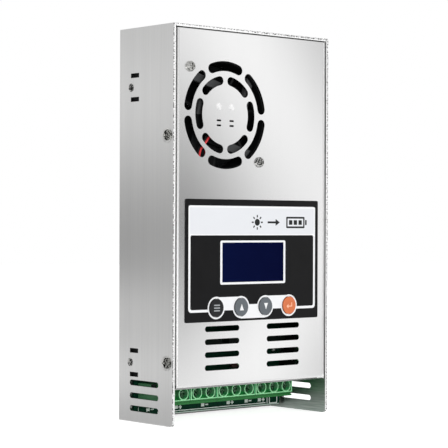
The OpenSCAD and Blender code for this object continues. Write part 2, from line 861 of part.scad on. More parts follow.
// Four wound poles round the bearing tube
module fan_stator() color("#B5652B") in_fan() difference() {
  intersection() {
    translate([0, 0, tube_z]) cylinder(h = tube_end_z - tube_z - 2 * end_gap, r = stator_r);
    for (turn = [0, 90]) {
      rotate(turn) translate([-stator_r, -stator_pole_w / 2, 0]) cube([2 * stator_r, stator_pole_w, fan_d]);
    }
  }
  cylinder(h = fan_d, r = tube_r + press_gap);
}

module fan_screws() color("#C9CBCD") placed() {
  for (side = [-1, 1]) {
    translate([fan_x + side * fan_pitch / 2, 0, fan_z - side * fan_pitch / 2]) rotate([90, 0, 0])
      pan_screw(pan_head_r, pan_head_h, m3_r, cover_t + fan_d + nut_h);
  }
}

module fan_nuts() color("#BFC2C5") placed() {
  for (side = [-1, 1]) {
    translate([fan_x + side * fan_pitch / 2, cover_t + fan_d, fan_z - side * fan_pitch / 2]) rotate([-90, 0, 0])
      difference() {
        cylinder(h = nut_h, r = nut_r, $fn = 6);
        translate([0, 0, -cut]) cylinder(h = nut_h + 2 * cut, r = m3_fit_r);
      }
  }
}

// Smooth curve through points: position at parameter s, counted in points
function spline_at(p, s) =
  let (i = min(floor(s), len(p) - 2), t = s - i)
  let (a = p[max(i - 1, 0)], b = p[i], c = p[i + 1], d = p[min(i + 2, len(p) - 1)])
  0.5 * ((2 * b) + (c - a) * t + (2 * a - 5 * b + 4 * c - d) * t * t + (3 * b - a - 3 * c + d) * t * t * t);

function unit(v) = v / norm(v);

// Swept round wire along path, closed at both ends
module wire(path, r) {
  sides = 8;
  across = unit([1, -0.3, -0.5]);
  last = len(path) - 1;
  rings = [for (i = [0:last])
    let (t = unit(path[min(i + 1, last)] - path[max(i - 1, 0)]), u = unit(cross(t, across)), v = cross(t, u))
    for (k = [0:sides - 1]) path[i] + r * (cos(k * 360 / sides) * u + sin(k * 360 / sides) * v)];
  walls = [for (i = [0:last - 1], k = [0:sides - 1])
    let (n = (k + 1) % sides)
    [i * sides + k, (i + 1) * sides + k, (i + 1) * sides + n, i * sides + n]];
  caps = [[for (k = [0:sides - 1]) k], [for (k = [sides - 1:-1:0]) last * sides + k]];
  polyhedron(points = rings, faces = concat(walls, caps));
}

function lead_path() =
  let (back = [for (p = lead_back) [p[0], p[1], p[2] - fan_w / 2]])
  let (route = concat(lead_front, back, [[plug_x + 0.6, board_y - plug_size[1], plug_z - 0.2]]))
  [for (s = [0:1 / lead_steps:len(route) - 1]) [fan_x, 0, fan_z] + spline_at(route, s)];

module fan_lead() color("#B4252B") placed() wire(lead_path(), lead_r);

module fan_lead_black() color("#1A1B1D") placed() translate(lead_offset) wire(lead_path(), lead_r);

module fan_plug() color("#EDE9DC") placed() {
  translate([fan_x + plug_x - plug_size[0] / 2, board_y - plug_size[1], fan_z + plug_z - plug_size[2] / 2])
    cube(plug_size);
}

// ---- Main board ----

module main_board() color("#1C4D3A") placed() difference() {
  front_plate(board_y, board_t) translate([-board_w / 2, board_z]) square([board_w, board_top_z - board_z]);
  for (side = [-1, 1], z = standoff_zs) {
    translate([side * standoff_x, 0, z]) rod_y(board_y - cut, board_t + 2 * cut, m3_fit_r);
  }
  for (i = [0:POLES - 1]) {
    translate([pole_x(i), 0, screw_z]) rod_y(board_y - cut, board_t + 2 * cut, pin_r + pin_fit);
  }
}

module board_standoffs() color("#C9B37C") placed() {
  for (side = [-1, 1], z = standoff_zs) {
    translate([side * standoff_x, 0, z]) difference() {
      union() {
        translate([0, board_back_y, 0]) rotate([-90, 0, 0]) cylinder(h = standoff_h, r = standoff_r, $fn = 6);
        rod_y(back_y - sliver, sheet_t, rivet_r);
      }
      rod_y(board_back_y - cut, board_screw_l + cut, m3_fit_r);
    }
  }
}

module board_screws() color("#C9CBCD") placed() {
  for (side = [-1, 1], z = standoff_zs) {
    translate([side * standoff_x, 0, z]) facing_front(board_y)
      pan_screw(board_screw_head_r, board_screw_head_h, m3_r, board_t + board_screw_l - 0.5);
  }
}

module insulation_sheet() color("#D8D4C6") placed() difference() {
  w = inner_w - 2 * bend_r - 2 * film_inset;
  front_plate(back_y - film_t, film_t) translate([-w / 2, 1]) square([w, case_h - 3 * bend_out - 2]);
  for (side = [-1, 1], z = standoff_zs) {
    translate([side * standoff_x, 0, z]) rod_y(back_y - cut, 2 * cut, standoff_r + film_hole_gap);
  }
  for (side = [-1, 1], z = [mount_z, mount_z + mount_pitch]) {
    translate([side * mount_back_pitch / 2, 0, z]) rod_y(back_y - cut, 2 * cut, mount_r + collar_wall + film_hole_gap);
  }
}

// ---- Terminals ----

// Number of the block that holds pole i, and the sideways place of the pole
function block_of(i, b = 0) = i < block_poles[b] ? b : block_of(i - block_poles[b], b + 1);
function pole_x(i) = row_x - row_w / 2 + (i + 0.5) * pole_pitch + block_of(i) * block_gap;
function poles_before(b) = b == 0 ? 0 : block_poles[b - 1] + poles_before(b - 1);
function block_x(b) = row_x - row_w / 2 + poles_before(b) * pole_pitch + b * block_gap;

// Body of a block, w wide: a lower front part before the clamps and a higher rear part round them
module block_body(w) {
  ledge_z = block_z + ledge_up;
  channel_y = block_y + channel_d;
  translate([0, channel_y, block_z]) cube([w, board_y - channel_y, block_front_z - block_z]);
  translate([0, block_step_y, block_front_z - sliver])
    cube([w, board_y - block_step_y, block_top_z - block_front_z + sliver]);
  // ledge, groove and lower lip of the foot
  translate([0, block_y, ledge_z]) cube([w, channel_d + sliver, ledge_t]);
  translate([0, block_y + groove_in, block_z]) cube([w, channel_d - groove_in + sliver, ledge_up + sliver]);
  translate([0, block_y + lower_lip_in, block_z]) cube([w, channel_d, ledge_t]);
  // walls at the ends and above
  for (x = [0, w - end_wall]) {
    translate([x, block_y, ledge_z]) cube([end_wall, channel_d + sliver, block_front_z - ledge_z]);
  }
  translate([0, block_y, block_front_z - end_wall]) cube([w, channel_d + sliver, end_wall]);
}

module terminal_housings() color("#3FA564") placed() difference() {
  union() {
    for (b = [0:len(block_poles) - 1]) {
      translate([block_x(b), 0, 0]) block_body(block_poles[b] * pole_pitch);
    }
    translate([block_x(0) - row_cheek, block_y, block_z]) cube([row_cheek + sliver, board_y - block_y, block_front_z - block_z]);
    translate([block_x(0) - row_cheek, block_step_y, block_front_z - sliver])
      cube([row_cheek + sliver, board_y - block_step_y, block_top_z - block_front_z + sliver]);
    for (i = [0:POLES - 1]) {
      translate([pole_x(i), 0, screw_z]) rod_y(block_y, channel_d + sliver, well_r + well_wall);
    }
  }
  for (i = [0:POLES - 1]) {
    translate([pole_x(i), 0, 0]) {
      translate([0, 0, screw_z]) rod_y(block_y - cut, box_y - block_y + cut + sliver, well_r);
      translate([0, 0, screw_z]) rod_y(contact_y, floor_t + contact_t + cut, pin_r + pin_fit);
      // chamber of the clamp box, open at the bottom for the wire
      translate([-box_w / 2 - box_fit, box_y, block_z - cut])
        cube([box_w + 2 * box_fit, contact_y + contact_t - box_y, screw_z + box_h / 2 + box_fit - block_z + cut]);
    }
  }
}

// Metal box with a threaded front wall, and its pin through the board
module terminal_contacts() color("#C3B68E") placed() {
  for (i = [0:POLES - 1]) {
    translate([pole_x(i), 0, screw_z]) {
      difference() {
        translate([-box_w / 2, box_y, -box_h / 2]) cube([box_w, contact_y + contact_t - box_y, box_h]);
        translate([-box_w / 2 + box_wall, box_y + box_front_t, -box_h])
          cube([box_w - 2 * box_wall, contact_y - box_y - box_front_t, 2 * box_h]);
        rod_y(box_y - cut, box_front_t + 2 * cut, thread_r + running_gap);
      }
      rod_y(contact_y + contact_t - sliver, floor_t + board_t + pin_tail, pin_r);
    }
  }
}

module clamp_screw(i) color("#B9BCBF") placed() translate([pole_x(i), 0, screw_z]) {
  head_y = block_y + head_in;
  facing_front(head_y + head_h) difference() {
    cylinder(h = head_h, r = head_r);
    translate([0, 0, head_h]) cross_recess(head_r);
  }
  rod_y(head_y + head_h - sliver, plate_y - head_y - head_h - plate_gap / 2, thread_r);
  rod_y(plate_y - plate_gap, plate_gap + neck_l, neck_r);
}

module clamp_plate(i) color("#A9ACAF") placed() translate([pole_x(i), 0, screw_z]) {
  w = box_w - 2 * box_wall - 0.6;
  difference() {
    translate([-w / 2, plate_y, -box_h / 2 + 1]) cube([w, plate_t, box_h - 2]);
    rod_y(plate_y - cut, neck_l + cut + 0.1, neck_r + running_gap);
  }
}

// ---- Power parts ----

module heatsink() color("#9DA1A5") placed() difference() {
  translate([sink_right_x, board_y - sink_h, fan_z - sink_l / 2]) {
    translate([-sink_base_t, 0, 0]) cube([sink_base_t, sink_h, sink_l]);
    for (i = [0:sink_fins - 1]) {
      translate([-sink_w, i * (sink_h - sink_fin_t - 0.7) / (sink_fins - 1), 0])
        cube([sink_w - sink_base_t + sliver, sink_fin_t, sink_l]);
    }
  }
  for (i = [0:transistors - 1]) {
    transistor_place(i) rotate([0, -90, 0]) cylinder(h = sink_base_t + cut, r = m3_fit_r);
  }
}

// Hole of transistor i where its tab meets the heatsink
module transistor_place(i) {
  translate([sink_right_x, board_y - sink_h + tab_drop + tab_hole_down,
    fan_z + (i - (transistors - 1) / 2) * transistor_pitch]) children();
}

module power_transistors() color("#232427") placed() {
  legs_y = tab_l - tab_hole_down + transistor_body_l;
  for (i = [0:transistors - 1]) {
    transistor_place(i) {
      difference() {
        translate([0, -tab_hole_down, -tab_w / 2]) cube([tab_t, tab_l + sliver, tab_w]);
        rotate([0, 90, 0]) translate([0, 0, -cut]) cylinder(h = tab_t + 2 * cut, r = m3_hole_r);
      }
      translate([0, tab_l - tab_hole_down, -tab_w / 2]) cube([transistor_body_t, transistor_body_l, tab_w]);
      for (k = [-1, 0, 1]) {
        translate([transistor_body_t / 2, legs_y - sliver, k * leg_pitch - leg_w / 2])
          cube([leg_t, sink_h - tab_drop - tab_l - transistor_body_l + sliver, leg_w]);
      }
    }
  }
}

// Screws of the transistors and of the display board
module inner_screws() color("#C9CBCD") placed() {
  for (i = [0:transistors - 1]) {
    transistor_place(i) translate([tab_t, 0, 0]) rotate([0, 90, 0])
      pan_screw(tab_head_r, tab_head_h, m3_r, sink_base_t);
  }
  for (p = post_places()) {
    translate([p[0], display_y + board_t, p[1]]) rotate([-90, 0, 0])
      pan_screw(post_head_r, post_head_h, post_thread_r, post_screw_l + board_t - post_screw_in);
  }
}

module capacitors() color("#24262B") placed() {
  for (column = [0, 1], row = [0:cap_rows - 1]) {
    translate([cap_x + column * cap_pitch, board_y, fan_z + (row - 1) * cap_pitch]) rotate([90, 0, 0])
      difference() {
        cylinder(h = cap_h, r = cap_r);
        translate([0, 0, cap_groove_up]) difference() {
          cylinder(h = cap_groove_w, r = cap_r + cut);
          cylinder(h = cap_groove_w, r = cap_r - cap_groove);
        }
      }
  }
}

// Children at each inductor's middle, z along its axis
module at_cores() {
  for (side = [-1, 1]) {
    translate([side * core_x, board_y - coil_d / 2, core_z]) rotate([-90, 0, 0]) children();
  }
}

module inductor_cores() color("#C9B23A") placed() at_cores() {
  translate([0, 0, -core_d / 2]) difference() {
    cylinder(h = core_d, r = core_r);
    translate([0, 0, -cut]) cylinder(h = core_d + 2 * cut, r = core_hole_r);
  }
}

module inductor_windings() color("#B4602C") placed() at_cores() {
  hole = [core_r - core_hole_r + 2 * wire_gap, wire_t + 2 * cut, core_d + 2 * wire_gap];
  ring = [hole[0] + 2 * wire_t, wire_t, coil_d];
  for (k = [0:core_turns - 1]) {
    rotate(k * coil_arc / (core_turns - 1)) translate([(core_r + core_hole_r) / 2, 0, 0]) difference() {
      cube(ring, center = true);
      cube(hole, center = true);
    }
  }
}

module fuses() color("#3D8C4A") placed() {
  for (i = [0:fuse_count - 1]) {
    translate([(i - (fuse_count - 1) / 2) * fuse_pitch, board_y, fuse_z]) {
      translate([-fuse_size[0] / 2, -fuse_blade[1] - fuse_size[1], -fuse_size[2] / 2]) cube(fuse_size);
      for (side = [-1, 1]) {
        translate([side * 6 - fuse_blade[0] / 2, -fuse_blade[1] - sliver, -fuse_blade[2] / 2])
          cube([fuse_blade[0], fuse_blade[1] + sliver, fuse_blade[2]]);
      }
    }
  }
}

module controller_chip() color("#1B1C1F") placed() translate([0, board_y, chip_z]) {
  translate([-chip_w / 2, -chip_t, -chip_w / 2]) cube([chip_w, chip_t - 0.2, chip_w]);
  for (turn = [0:3], k = [0:chip_legs - 1]) {
    rotate([0, turn * 90, 0]) translate([(k - (chip_legs - 1) / 2) * 1.2 - 0.2, -0.6, chip_w / 2 - sliver])
      cube([0.4, 0.6, 1.2]);
  }
}

module ribbon_connectors() color("#2A2B2E") placed() {
  translate([-socket_size[0] / 2, display_y + board_t, socket_z - socket_size[2] / 2]) cube(socket_size);
  translate([-header_size[0] / 2, board_y - header_size[1], header_z - header_size[2] / 2]) cube(header_size);
}

// Flat cable drawn in the Y-Z plane: out of the socket, up behind the display, into the header
module ribbon_cable() color("#9A9DA1") placed() translate([-ribbon_w / 2, 0, 0]) rotate([90, 0, 90])
  linear_extrude(ribbon_w) {
    out_y = display_y + board_t + socket_size[1];
    rise_y = out_y + ribbon_bend;
    in_y = board_y - header_size[1];
    translate([out_y, socket_z]) bend_outline();
    translate([rise_y - ribbon_t / 2, socket_z + ribbon_bend]) square([ribbon_t, header_z - socket_z - 2 * ribbon_bend]);
    translate([rise_y + ribbon_bend, header_z]) rotate(180) bend_outline();
    translate([rise_y + ribbon_bend, header_z - ribbon_t / 2]) square([in_y - rise_y - ribbon_bend, ribbon_t]);
  }

// Quarter bend of the ribbon: leaves 0, 0 along +X and turns towards +Y
module bend_outline() {
  intersection() {
    translate([0, ribbon_bend]) difference() {
      circle(r = ribbon_bend + ribbon_t / 2);
      circle(r = ribbon_bend - ribbon_t / 2);
    }
    translate([0, -ribbon_t]) square([ribbon_bend + ribbon_t, ribbon_bend + ribbon_t]);
  }
}

chassis();
front_cover();
cover_screws();
label_overlay();
display_window();
lcd_bezel();
lcd_glass();
display_board();
display_posts();
tact_switches();
key_menu();
key_up();
key_down();
key_enter();
fan_frame();
fan_rotor();
fan_shaft();
fan_bearing();
fan_stator();
fan_screws();
fan_nuts();
fan_lead();
fan_lead_black();
fan_plug();
main_board();
board_standoffs();
board_screws();
insulation_sheet();
terminal_housings();
terminal_contacts();
heatsink();
power_transistors();
inner_screws();
capacitors();
inductor_cores();
inductor_windings();
fuses();
controller_chip();
ribbon_cable();
ribbon_connectors();
for (i = [1:POLES]) {
  clamp_screw(i - 1);
  clamp_plate(i - 1);
}
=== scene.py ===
"""Charge controller: camera, looks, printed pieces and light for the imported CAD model.

The scene is in metres, in the CAD's own frame. The object's own sizes are written in millimetres, laid
out as in the part's source: x from the middle, y from the case's front edges and z from the floor. Cards,
lights and the floor are written in metres.
"""

import math

import bpy
from mathutils import Matrix, Vector
from mathutils.geometry import tessellate_polygon


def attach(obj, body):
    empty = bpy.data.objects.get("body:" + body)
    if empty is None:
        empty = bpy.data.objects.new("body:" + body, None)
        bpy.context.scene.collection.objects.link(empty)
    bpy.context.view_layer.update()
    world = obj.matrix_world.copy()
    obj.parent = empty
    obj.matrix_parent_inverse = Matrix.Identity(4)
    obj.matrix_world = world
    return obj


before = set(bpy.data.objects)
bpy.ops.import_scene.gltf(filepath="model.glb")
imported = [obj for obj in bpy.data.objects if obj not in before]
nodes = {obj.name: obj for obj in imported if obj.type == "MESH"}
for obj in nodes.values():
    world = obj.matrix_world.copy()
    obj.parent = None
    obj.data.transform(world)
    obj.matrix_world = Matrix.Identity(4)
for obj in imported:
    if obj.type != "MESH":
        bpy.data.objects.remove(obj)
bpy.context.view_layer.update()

MM = 0.001
MID_Y = 23.0  # from the case's front edges back to the CAD's origin

# Case and cover
CASE_W, CASE_H = 115.0, 215.0
SHEET_T = 1.5
HALF_W = CASE_W / 2
INNER_X = HALF_W - SHEET_T
INNER_TOP = CASE_H - SHEET_T
BACK_Y = 46.5
COVER_Z, COVER_TOP = 19.5, 213.2
MOUNT_Y, MOUNT_ZS = 36.5, (32.5, 182.5)
MOUNT_HOLES = [(MOUNT_Y, z) for z in MOUNT_ZS]
SKIN = 0.05  # a limit between two finishes lies this far, or twice as far, off the face that it follows
INNER_LOW, INNER_HIGH = INNER_X - 2 * SKIN, INNER_X + 2 * SKIN  # on both sides of the walls' inner faces

# Fan
FAN_X, FAN_Z = -21.0, 167.5
FAN_PITCH = 50.0
BOSS_X, BOSS_Z, BOSS_R = 4.6, 4.4, 2.05

# Terminals: poles in blocks from left to right
BLOCKS = (2, 2, 3, 3)
FIRST_POLE = -44.3
POLE_PITCH, BLOCK_GAP, BLOCK_WALL_T = 9.5, 0.3, 0.8
POLE_Z = 15.0
WELL_RIM_R = 3.55
WELL_RIM_Y = 18.2  # the wells' rims lie just in front of this

# Control panel
LABEL_FRONT = -0.4
KEY_FRONT = -1.1
PANEL_X = -0.4
KEY_PITCH = 18.0
KEY_X = [PANEL_X + KEY_PITCH * i for i in (-1.5, -0.5, 0.5, 1.5)]
KEY_Z = 62.6
KEY_HOLE_R = 5.2
WINDOW_Z, WINDOW_W, WINDOW_H = 87.2, 45.5, 21.7

# Main board
BOARD_FRONT = 37.0


# ---------------------------------------------------------------- camera
CAMERA_AT = Vector((-616.53, -681.97 - MID_Y, 107.07)) * MM
YAW, PITCH, ROLL = (math.radians(a) for a in (41.0976, 0.0696, 0.2071))
FOCAL_PX = 1661.70
FRAME_PX = 448
SENSOR_MM = 36.0


def make_camera():
    """Camera that was fitted to the photograph."""
    forward = Vector((math.sin(YAW) * math.cos(PITCH), math.cos(YAW) * math.cos(PITCH), math.sin(PITCH)))
    right = Vector((math.cos(YAW), -math.sin(YAW), 0.0))
    up = right.cross(forward)
    x_axis = right * math.cos(ROLL) + up * math.sin(ROLL)
    y_axis = up * math.cos(ROLL) - right * math.sin(ROLL)
    turn = Matrix((x_axis, y_axis, -forward)).transposed()
    data = bpy.data.cameras.new("camera")
    data.sensor_fit = "HORIZONTAL"
    data.sensor_width = SENSOR_MM
    data.lens = FOCAL_PX / FRAME_PX * SENSOR_MM
    data.clip_start, data.clip_end = 0.01, 100.0
    camera = bpy.data.objects.new("camera", data)
    bpy.context.scene.collection.objects.link(camera)
    camera.matrix_world = Matrix.Translation(CAMERA_AT) @ turn.to_4x4()
    bpy.context.scene.camera = camera


# ---------------------------------------------------------------- node helpers
def rgba(color):
    """Colour of three numbers with an alpha of 1; a socket is passed on."""
    if isinstance(color, bpy.types.NodeSocket):
        return color
    return (*color, 1.0)


def grey(level):
    return (level, level, level)


def scaled(color, k):
    return tuple(min(1.0, c * k) for c in color)


def hex_linear(text):
    """#RRGGBB as written on screen, in linear light."""
    out = []
    for i in (1, 3, 5):
        c = int(text[i:i + 2], 16) / 255
        out.append(c / 12.92 if c <= 0.04045 else ((c + 0.055) / 1.055) ** 2.4)
    return tuple(out)


class Graph:
    """Short way to write the nodes of a material or world."""

    def __init__(self, owner, output="ShaderNodeOutputMaterial"):
        self.owner = owner
        owner.use_nodes = True
        self.tree = owner.node_tree
        self.tree.nodes.clear()
        self.out = self.add(output)

    def add(self, kind, **values):
        node = self.tree.nodes.new(kind)
        for key, value in values.items():
            setattr(node, key, value)
        return node

    def link(self, a, b):
        self.tree.links.new(a, b)

    def put(self, socket, value):
        """Sets a socket to a value or links it to another socket."""
        if isinstance(value, bpy.types.NodeSocket):
            self.link(value, socket)
        else:
            socket.default_value = value

    def axes(self, output="Object"):
        """X, Y and Z of one of the piece's own coordinates."""
        source = self.add("ShaderNodeTexCoord")
        split = self.add("ShaderNodeSeparateXYZ")
        self.link(source.outputs[output], split.inputs["Vector"])
        return [split.outputs[axis] for axis in "XYZ"]

    def layout(self):
        """The layout's x, y and z in millimetres."""
        x, y, z = (self.math("MULTIPLY", value, 1 / MM) for value in self.axes())
        return x, self.math("ADD", y, MID_Y), z

    def coords(self, scale, turn=(0, 0, 0)):
        """The piece's own coordinates, scaled and turned."""
        source = self.add("ShaderNodeTexCoord")
        mapping = self.add("ShaderNodeMapping")
        mapping.inputs["Scale"].default_value = scale
        mapping.inputs["Rotation"].default_value = turn
        self.link(source.outputs["Object"], mapping.inputs["Vector"])
        return mapping.outputs["Vector"]

    def noise(self, scale, detail, rough=0.55):
        """Noise with this many cells per metre, the same along each axis or one number for each."""
        node = self.add("ShaderNodeTexNoise")
        self.link(self.coords(scale if isinstance(scale, tuple) else grey(scale)), node.inputs["Vector"])
        node.inputs["Scale"].default_value = 1.0
        node.inputs["Detail"].default_value = detail
        node.inputs["Roughness"].default_value = rough
        return node.outputs["Fac"]

    def bricks(self, scale, mortar, row, **settings):
        """Brick pattern on the faces that look along Y."""
        node = self.add("ShaderNodeTexBrick", **settings)
        node.inputs["Scale"].default_value = scale
        node.inputs["Mortar Size"].default_value = mortar
        node.inputs["Row Height"].default_value = row
        self.link(self.coords((1, 0, 1), (math.radians(90), 0, 0)), node.inputs["Vector"])
        return node.outputs["Fac"]

    def ramp(self, value, low, high, to_low=0.0, to_high=1.0):
        """Value from low to high, mapped to the range from to_low to to_high and kept inside it."""
        node = self.add("ShaderNodeMapRange")
        self.put(node.inputs["Value"], value)
        limits = {"From Min": low, "From Max": high, "To Min": to_low, "To Max": to_high}
        for name, number in limits.items():
            node.inputs[name].default_value = number
        return node.outputs["Result"]

    def mix(self, factor, a, b):
        """Colour a where the factor is 0 and b where it is 1."""
        node = self.add("ShaderNodeMix", data_type="RGBA")
        self.put(node.inputs[0], factor)
        self.put(node.inputs[6], rgba(a))
        self.put(node.inputs[7], rgba(b))
        return node.outputs[2]

    def math(self, operation, a, b=0.0):
        node = self.add("ShaderNodeMath", operation=operation)
        self.put(node.inputs[0], a)
        self.put(node.inputs[1], b)
        return node.outputs[0]

    def above(self, value, limit):
        return self.math("GREATER_THAN", value, limit)

    def below(self, value, limit):
        return self.math("LESS_THAN", value, limit)

    def chain(self, operation, factors):
        """One value from many: the operation taken over all of the factors."""
        out = factors[0]
        for factor in factors[1:]:
            out = self.math(operation, out, factor)
        return out

    def every(self, *masks):
        return self.chain("MULTIPLY", masks)

    def either(self, *masks):
        return self.chain("MAXIMUM", masks)

    def reach(self, a, b, centres):
        """Distance from the nearest of the centres in the plane of a and b."""
        distances = []
        for ca, cb in centres:
            da, db = self.math("SUBTRACT", a, ca), self.math("SUBTRACT", b, cb)
            square = self.math("ADD", self.math("MULTIPLY", da, da), self.math("MULTIPLY", db, db))
            distances.append(self.math("SQRT", square))
        return self.chain("MINIMUM", distances)

    def bump(self, height, distance):
        node = self.add("ShaderNodeBump")
        self.put(node.inputs["Height"], height)
        node.inputs["Distance"].default_value = distance
        node.inputs["Strength"].default_value = 1.0
        return node.outputs["Normal"]

    def surface(self, color, rough, metallic=0.0, normal=None, specular=0.5, coat=0.0):
        """Ends a material with one shader and returns the material."""
        shader = self.add("ShaderNodeBsdfPrincipled")
        self.put(shader.inputs["Base Color"], rgba(color))
        self.put(shader.inputs["Roughness"], rough)
        self.put(shader.inputs["Metallic"], metallic)
        shader.inputs["Specular IOR Level"].default_value = specular
        shader.inputs["Coat Weight"].default_value = coat
        shader.inputs["Coat Roughness"].default_value = 0.1
        if normal is not None:
            self.link(normal, shader.inputs["Normal"])
        self.link(shader.outputs["BSDF"], self.out.inputs["Surface"])
        return self.owner


def material_graph(name):
    return Graph(bpy.data.materials.new(name))


# ---------------------------------------------------------------- sheet metal
def grain_tone(g, color, scale, streak):
    """Brushed tone, and the grain's height. scale is the noise's frequency along X, Y and Z, per metre."""
    fine = g.noise(scale, 4.0, 0.6)
    broad = g.noise(tuple(v * 0.12 for v in scale), 3.0, 0.6)
    grain = g.math("ADD", g.math("MULTIPLY", fine, 0.55), g.math("MULTIPLY", broad, 0.45))
    return g.mix(g.ramp(grain, 0.34, 0.66), scaled(color, 1 - streak), scaled(color, 1 + streak)), grain


def brushed_metal(name, color, rough, scale, streak):
    """Metal with a long grain."""
    g = material_graph(name)
    tone, grain = grain_tone(g, color, scale, streak)
    shine = g.ramp(grain, 0.25, 0.75, rough + 0.05, rough - 0.05)
    return g.surface(tone, shine, 1.0, g.bump(grain, 0.000004), specular=0.3)


def bare_edge_and_highlight(g, x, side, z):
    """Cut edges of the case: painted near white, partly bare metal and partly a painted highlight, with
    worn spots along the outer rim and painted shade at the foot.
    """
    rim = 0.55  # width of the worn rim on the left; it is wider on the right
    right_extra = 0.35
    foot = 1.2
    chips = g.noise((1000, 1000, 1150), 1.0, 0.6)
    outline = g.math("MAXIMUM", g.math("SUBTRACT", side, HALF_W), g.math("SUBTRACT", z, CASE_H))
    worn_from = g.math("SUBTRACT", -rim, g.math("MULTIPLY", g.above(x, 0.0), right_extra))
    worn = g.mix(g.ramp(chips, 0.44, 0.56), grey(0.90), grey(0.10))
    # Near white: partly the cut metal's own tone, partly a painted highlight.
    bare = g.mix(g.ramp(chips, 0.60, 0.70), grey(0.93), grey(0.45))
    bare = g.mix(g.above(outline, worn_from), bare, worn)
    # Painted shade at the foot, near the floor.
    return g.mix(g.below(z, foot), bare, (0.30, 0.30, 0.29))


def painted_inner_shade(g, color, tone, place):
    """Painted shade: the inner faces and the walls of the holes and vents are darkened. The right wall's
    inner face, where it shows below the cover, gets a painted greenish reflection with streaks."""
    shade_level = 0.27
    bend_room = 1.0  # keeps the walls of holes and vents apart from the bends
    hole_edge = 0.3
    reflection_top = 23.5  # a little above the cover's lower end
    x, y, z, side = place
    inside = g.every(g.below(side, INNER_X + SKIN), g.below(y, BACK_Y + SKIN),
                     g.below(z, INNER_TOP + SKIN))
    hole_walls = g.every(g.below(side, HALF_W - SKIN),
                         g.above(y, hole_edge), g.below(y, BACK_Y - bend_room),
                         g.above(z, hole_edge), g.below(z, INNER_TOP - bend_room))
    # Painted shade darkens the inner faces and the walls of the holes and vents.
    tone = g.mix(g.either(inside, hole_walls), tone, scaled(color, shade_level))
    # Painted greenish reflection with streaks on the right wall's inner face below the cover.
    streaks = g.noise((200, 60, 1500), 3.0)
    green_reflection = g.mix(g.ramp(streaks, 0.35, 0.65), (0.23, 0.27, 0.245), (0.36, 0.40, 0.375))
    return g.mix(g.every(inside, g.above(x, INNER_LOW), g.below(z, reflection_top)), tone, green_reflection)


def case_metal(name, color):
    """Brushed outside with painted shade inside; threads with painted glints in the mounting holes; cut
    edges at the front painted near white, partly bare metal and partly a painted highlight; and on the
    right wall's inner face beside the cover, a painted dark gap line and a painted reflection of the
    cover's bend.
    """
    thread_r = 2.3
    foot_z, foot_y, foot_tone = 0.5, 0.2, 0.80  # lowest strip of the left wall
    edge_depth = 0.12
    lip_start, lip_end = 0.02, 2.3  # strip of the right wall's inner face beside the cover's bend
    lip_reflection_from = 0.85
    g = material_graph(name)
    x, y, z = g.layout()
    side = g.math("ABSOLUTE", x)
    tone, grain = grain_tone(g, color, (1500, 1500, 14), 0.034)
    tone = painted_inner_shade(g, color, tone, (x, y, z, side))

    # Thread pattern in the mounting holes; its light specks are painted glints.
    thread = g.noise((1300, 900, 900), 1.0)
    steel = g.mix(g.ramp(thread, 0.44, 0.56), grey(0.05), (0.62, 0.62, 0.60))
    threads = g.every(g.below(g.reach(y, z, MOUNT_HOLES), thread_r), g.below(side, HALF_W + 2 * SKIN))
    tone = g.mix(threads, tone, steel)

    # Painted shade: the left wall's lowest strip is darkened at the floor.
    foot = g.every(g.below(x, 2 * SKIN - HALF_W), g.below(z, foot_z), g.above(y, foot_y))
    tone = g.mix(foot, tone, scaled(color, foot_tone))

    front_edges = g.math("MAXIMUM", side, g.math("SUBTRACT", z, CASE_H - HALF_W))
    edge = g.every(g.below(y, edge_depth), g.above(front_edges, INNER_LOW))
    # The cut edges at the front: near white and not metallic, partly bare metal and partly a painted
    # highlight.
    tone = g.mix(edge, tone, bare_edge_and_highlight(g, x, side, z))

    # Painted shade and painted reflection on the right wall's inner face beside the cover's bend: near
    # black at the front, in the gap, and near white further back, where it stands for the bend's
    # reflection.
    lip_shade_and_reflection = g.every(g.above(x, INNER_LOW), g.below(x, INNER_HIGH), g.above(z, COVER_Z + 2 * SKIN),
                  g.below(y, lip_end), g.above(y, lip_start))
    tone = g.mix(lip_shade_and_reflection, tone, g.mix(g.above(y, lip_reflection_from), grey(0.02), grey(0.97)))

    metallic = g.math("SUBTRACT", 1.0, g.either(edge, lip_shade_and_reflection, threads))
    shine = g.ramp(grain, 0.25, 0.75, 0.39, 0.29)
    return g.surface(tone, shine, metallic, g.bump(grain, 0.000004), specular=0.3)


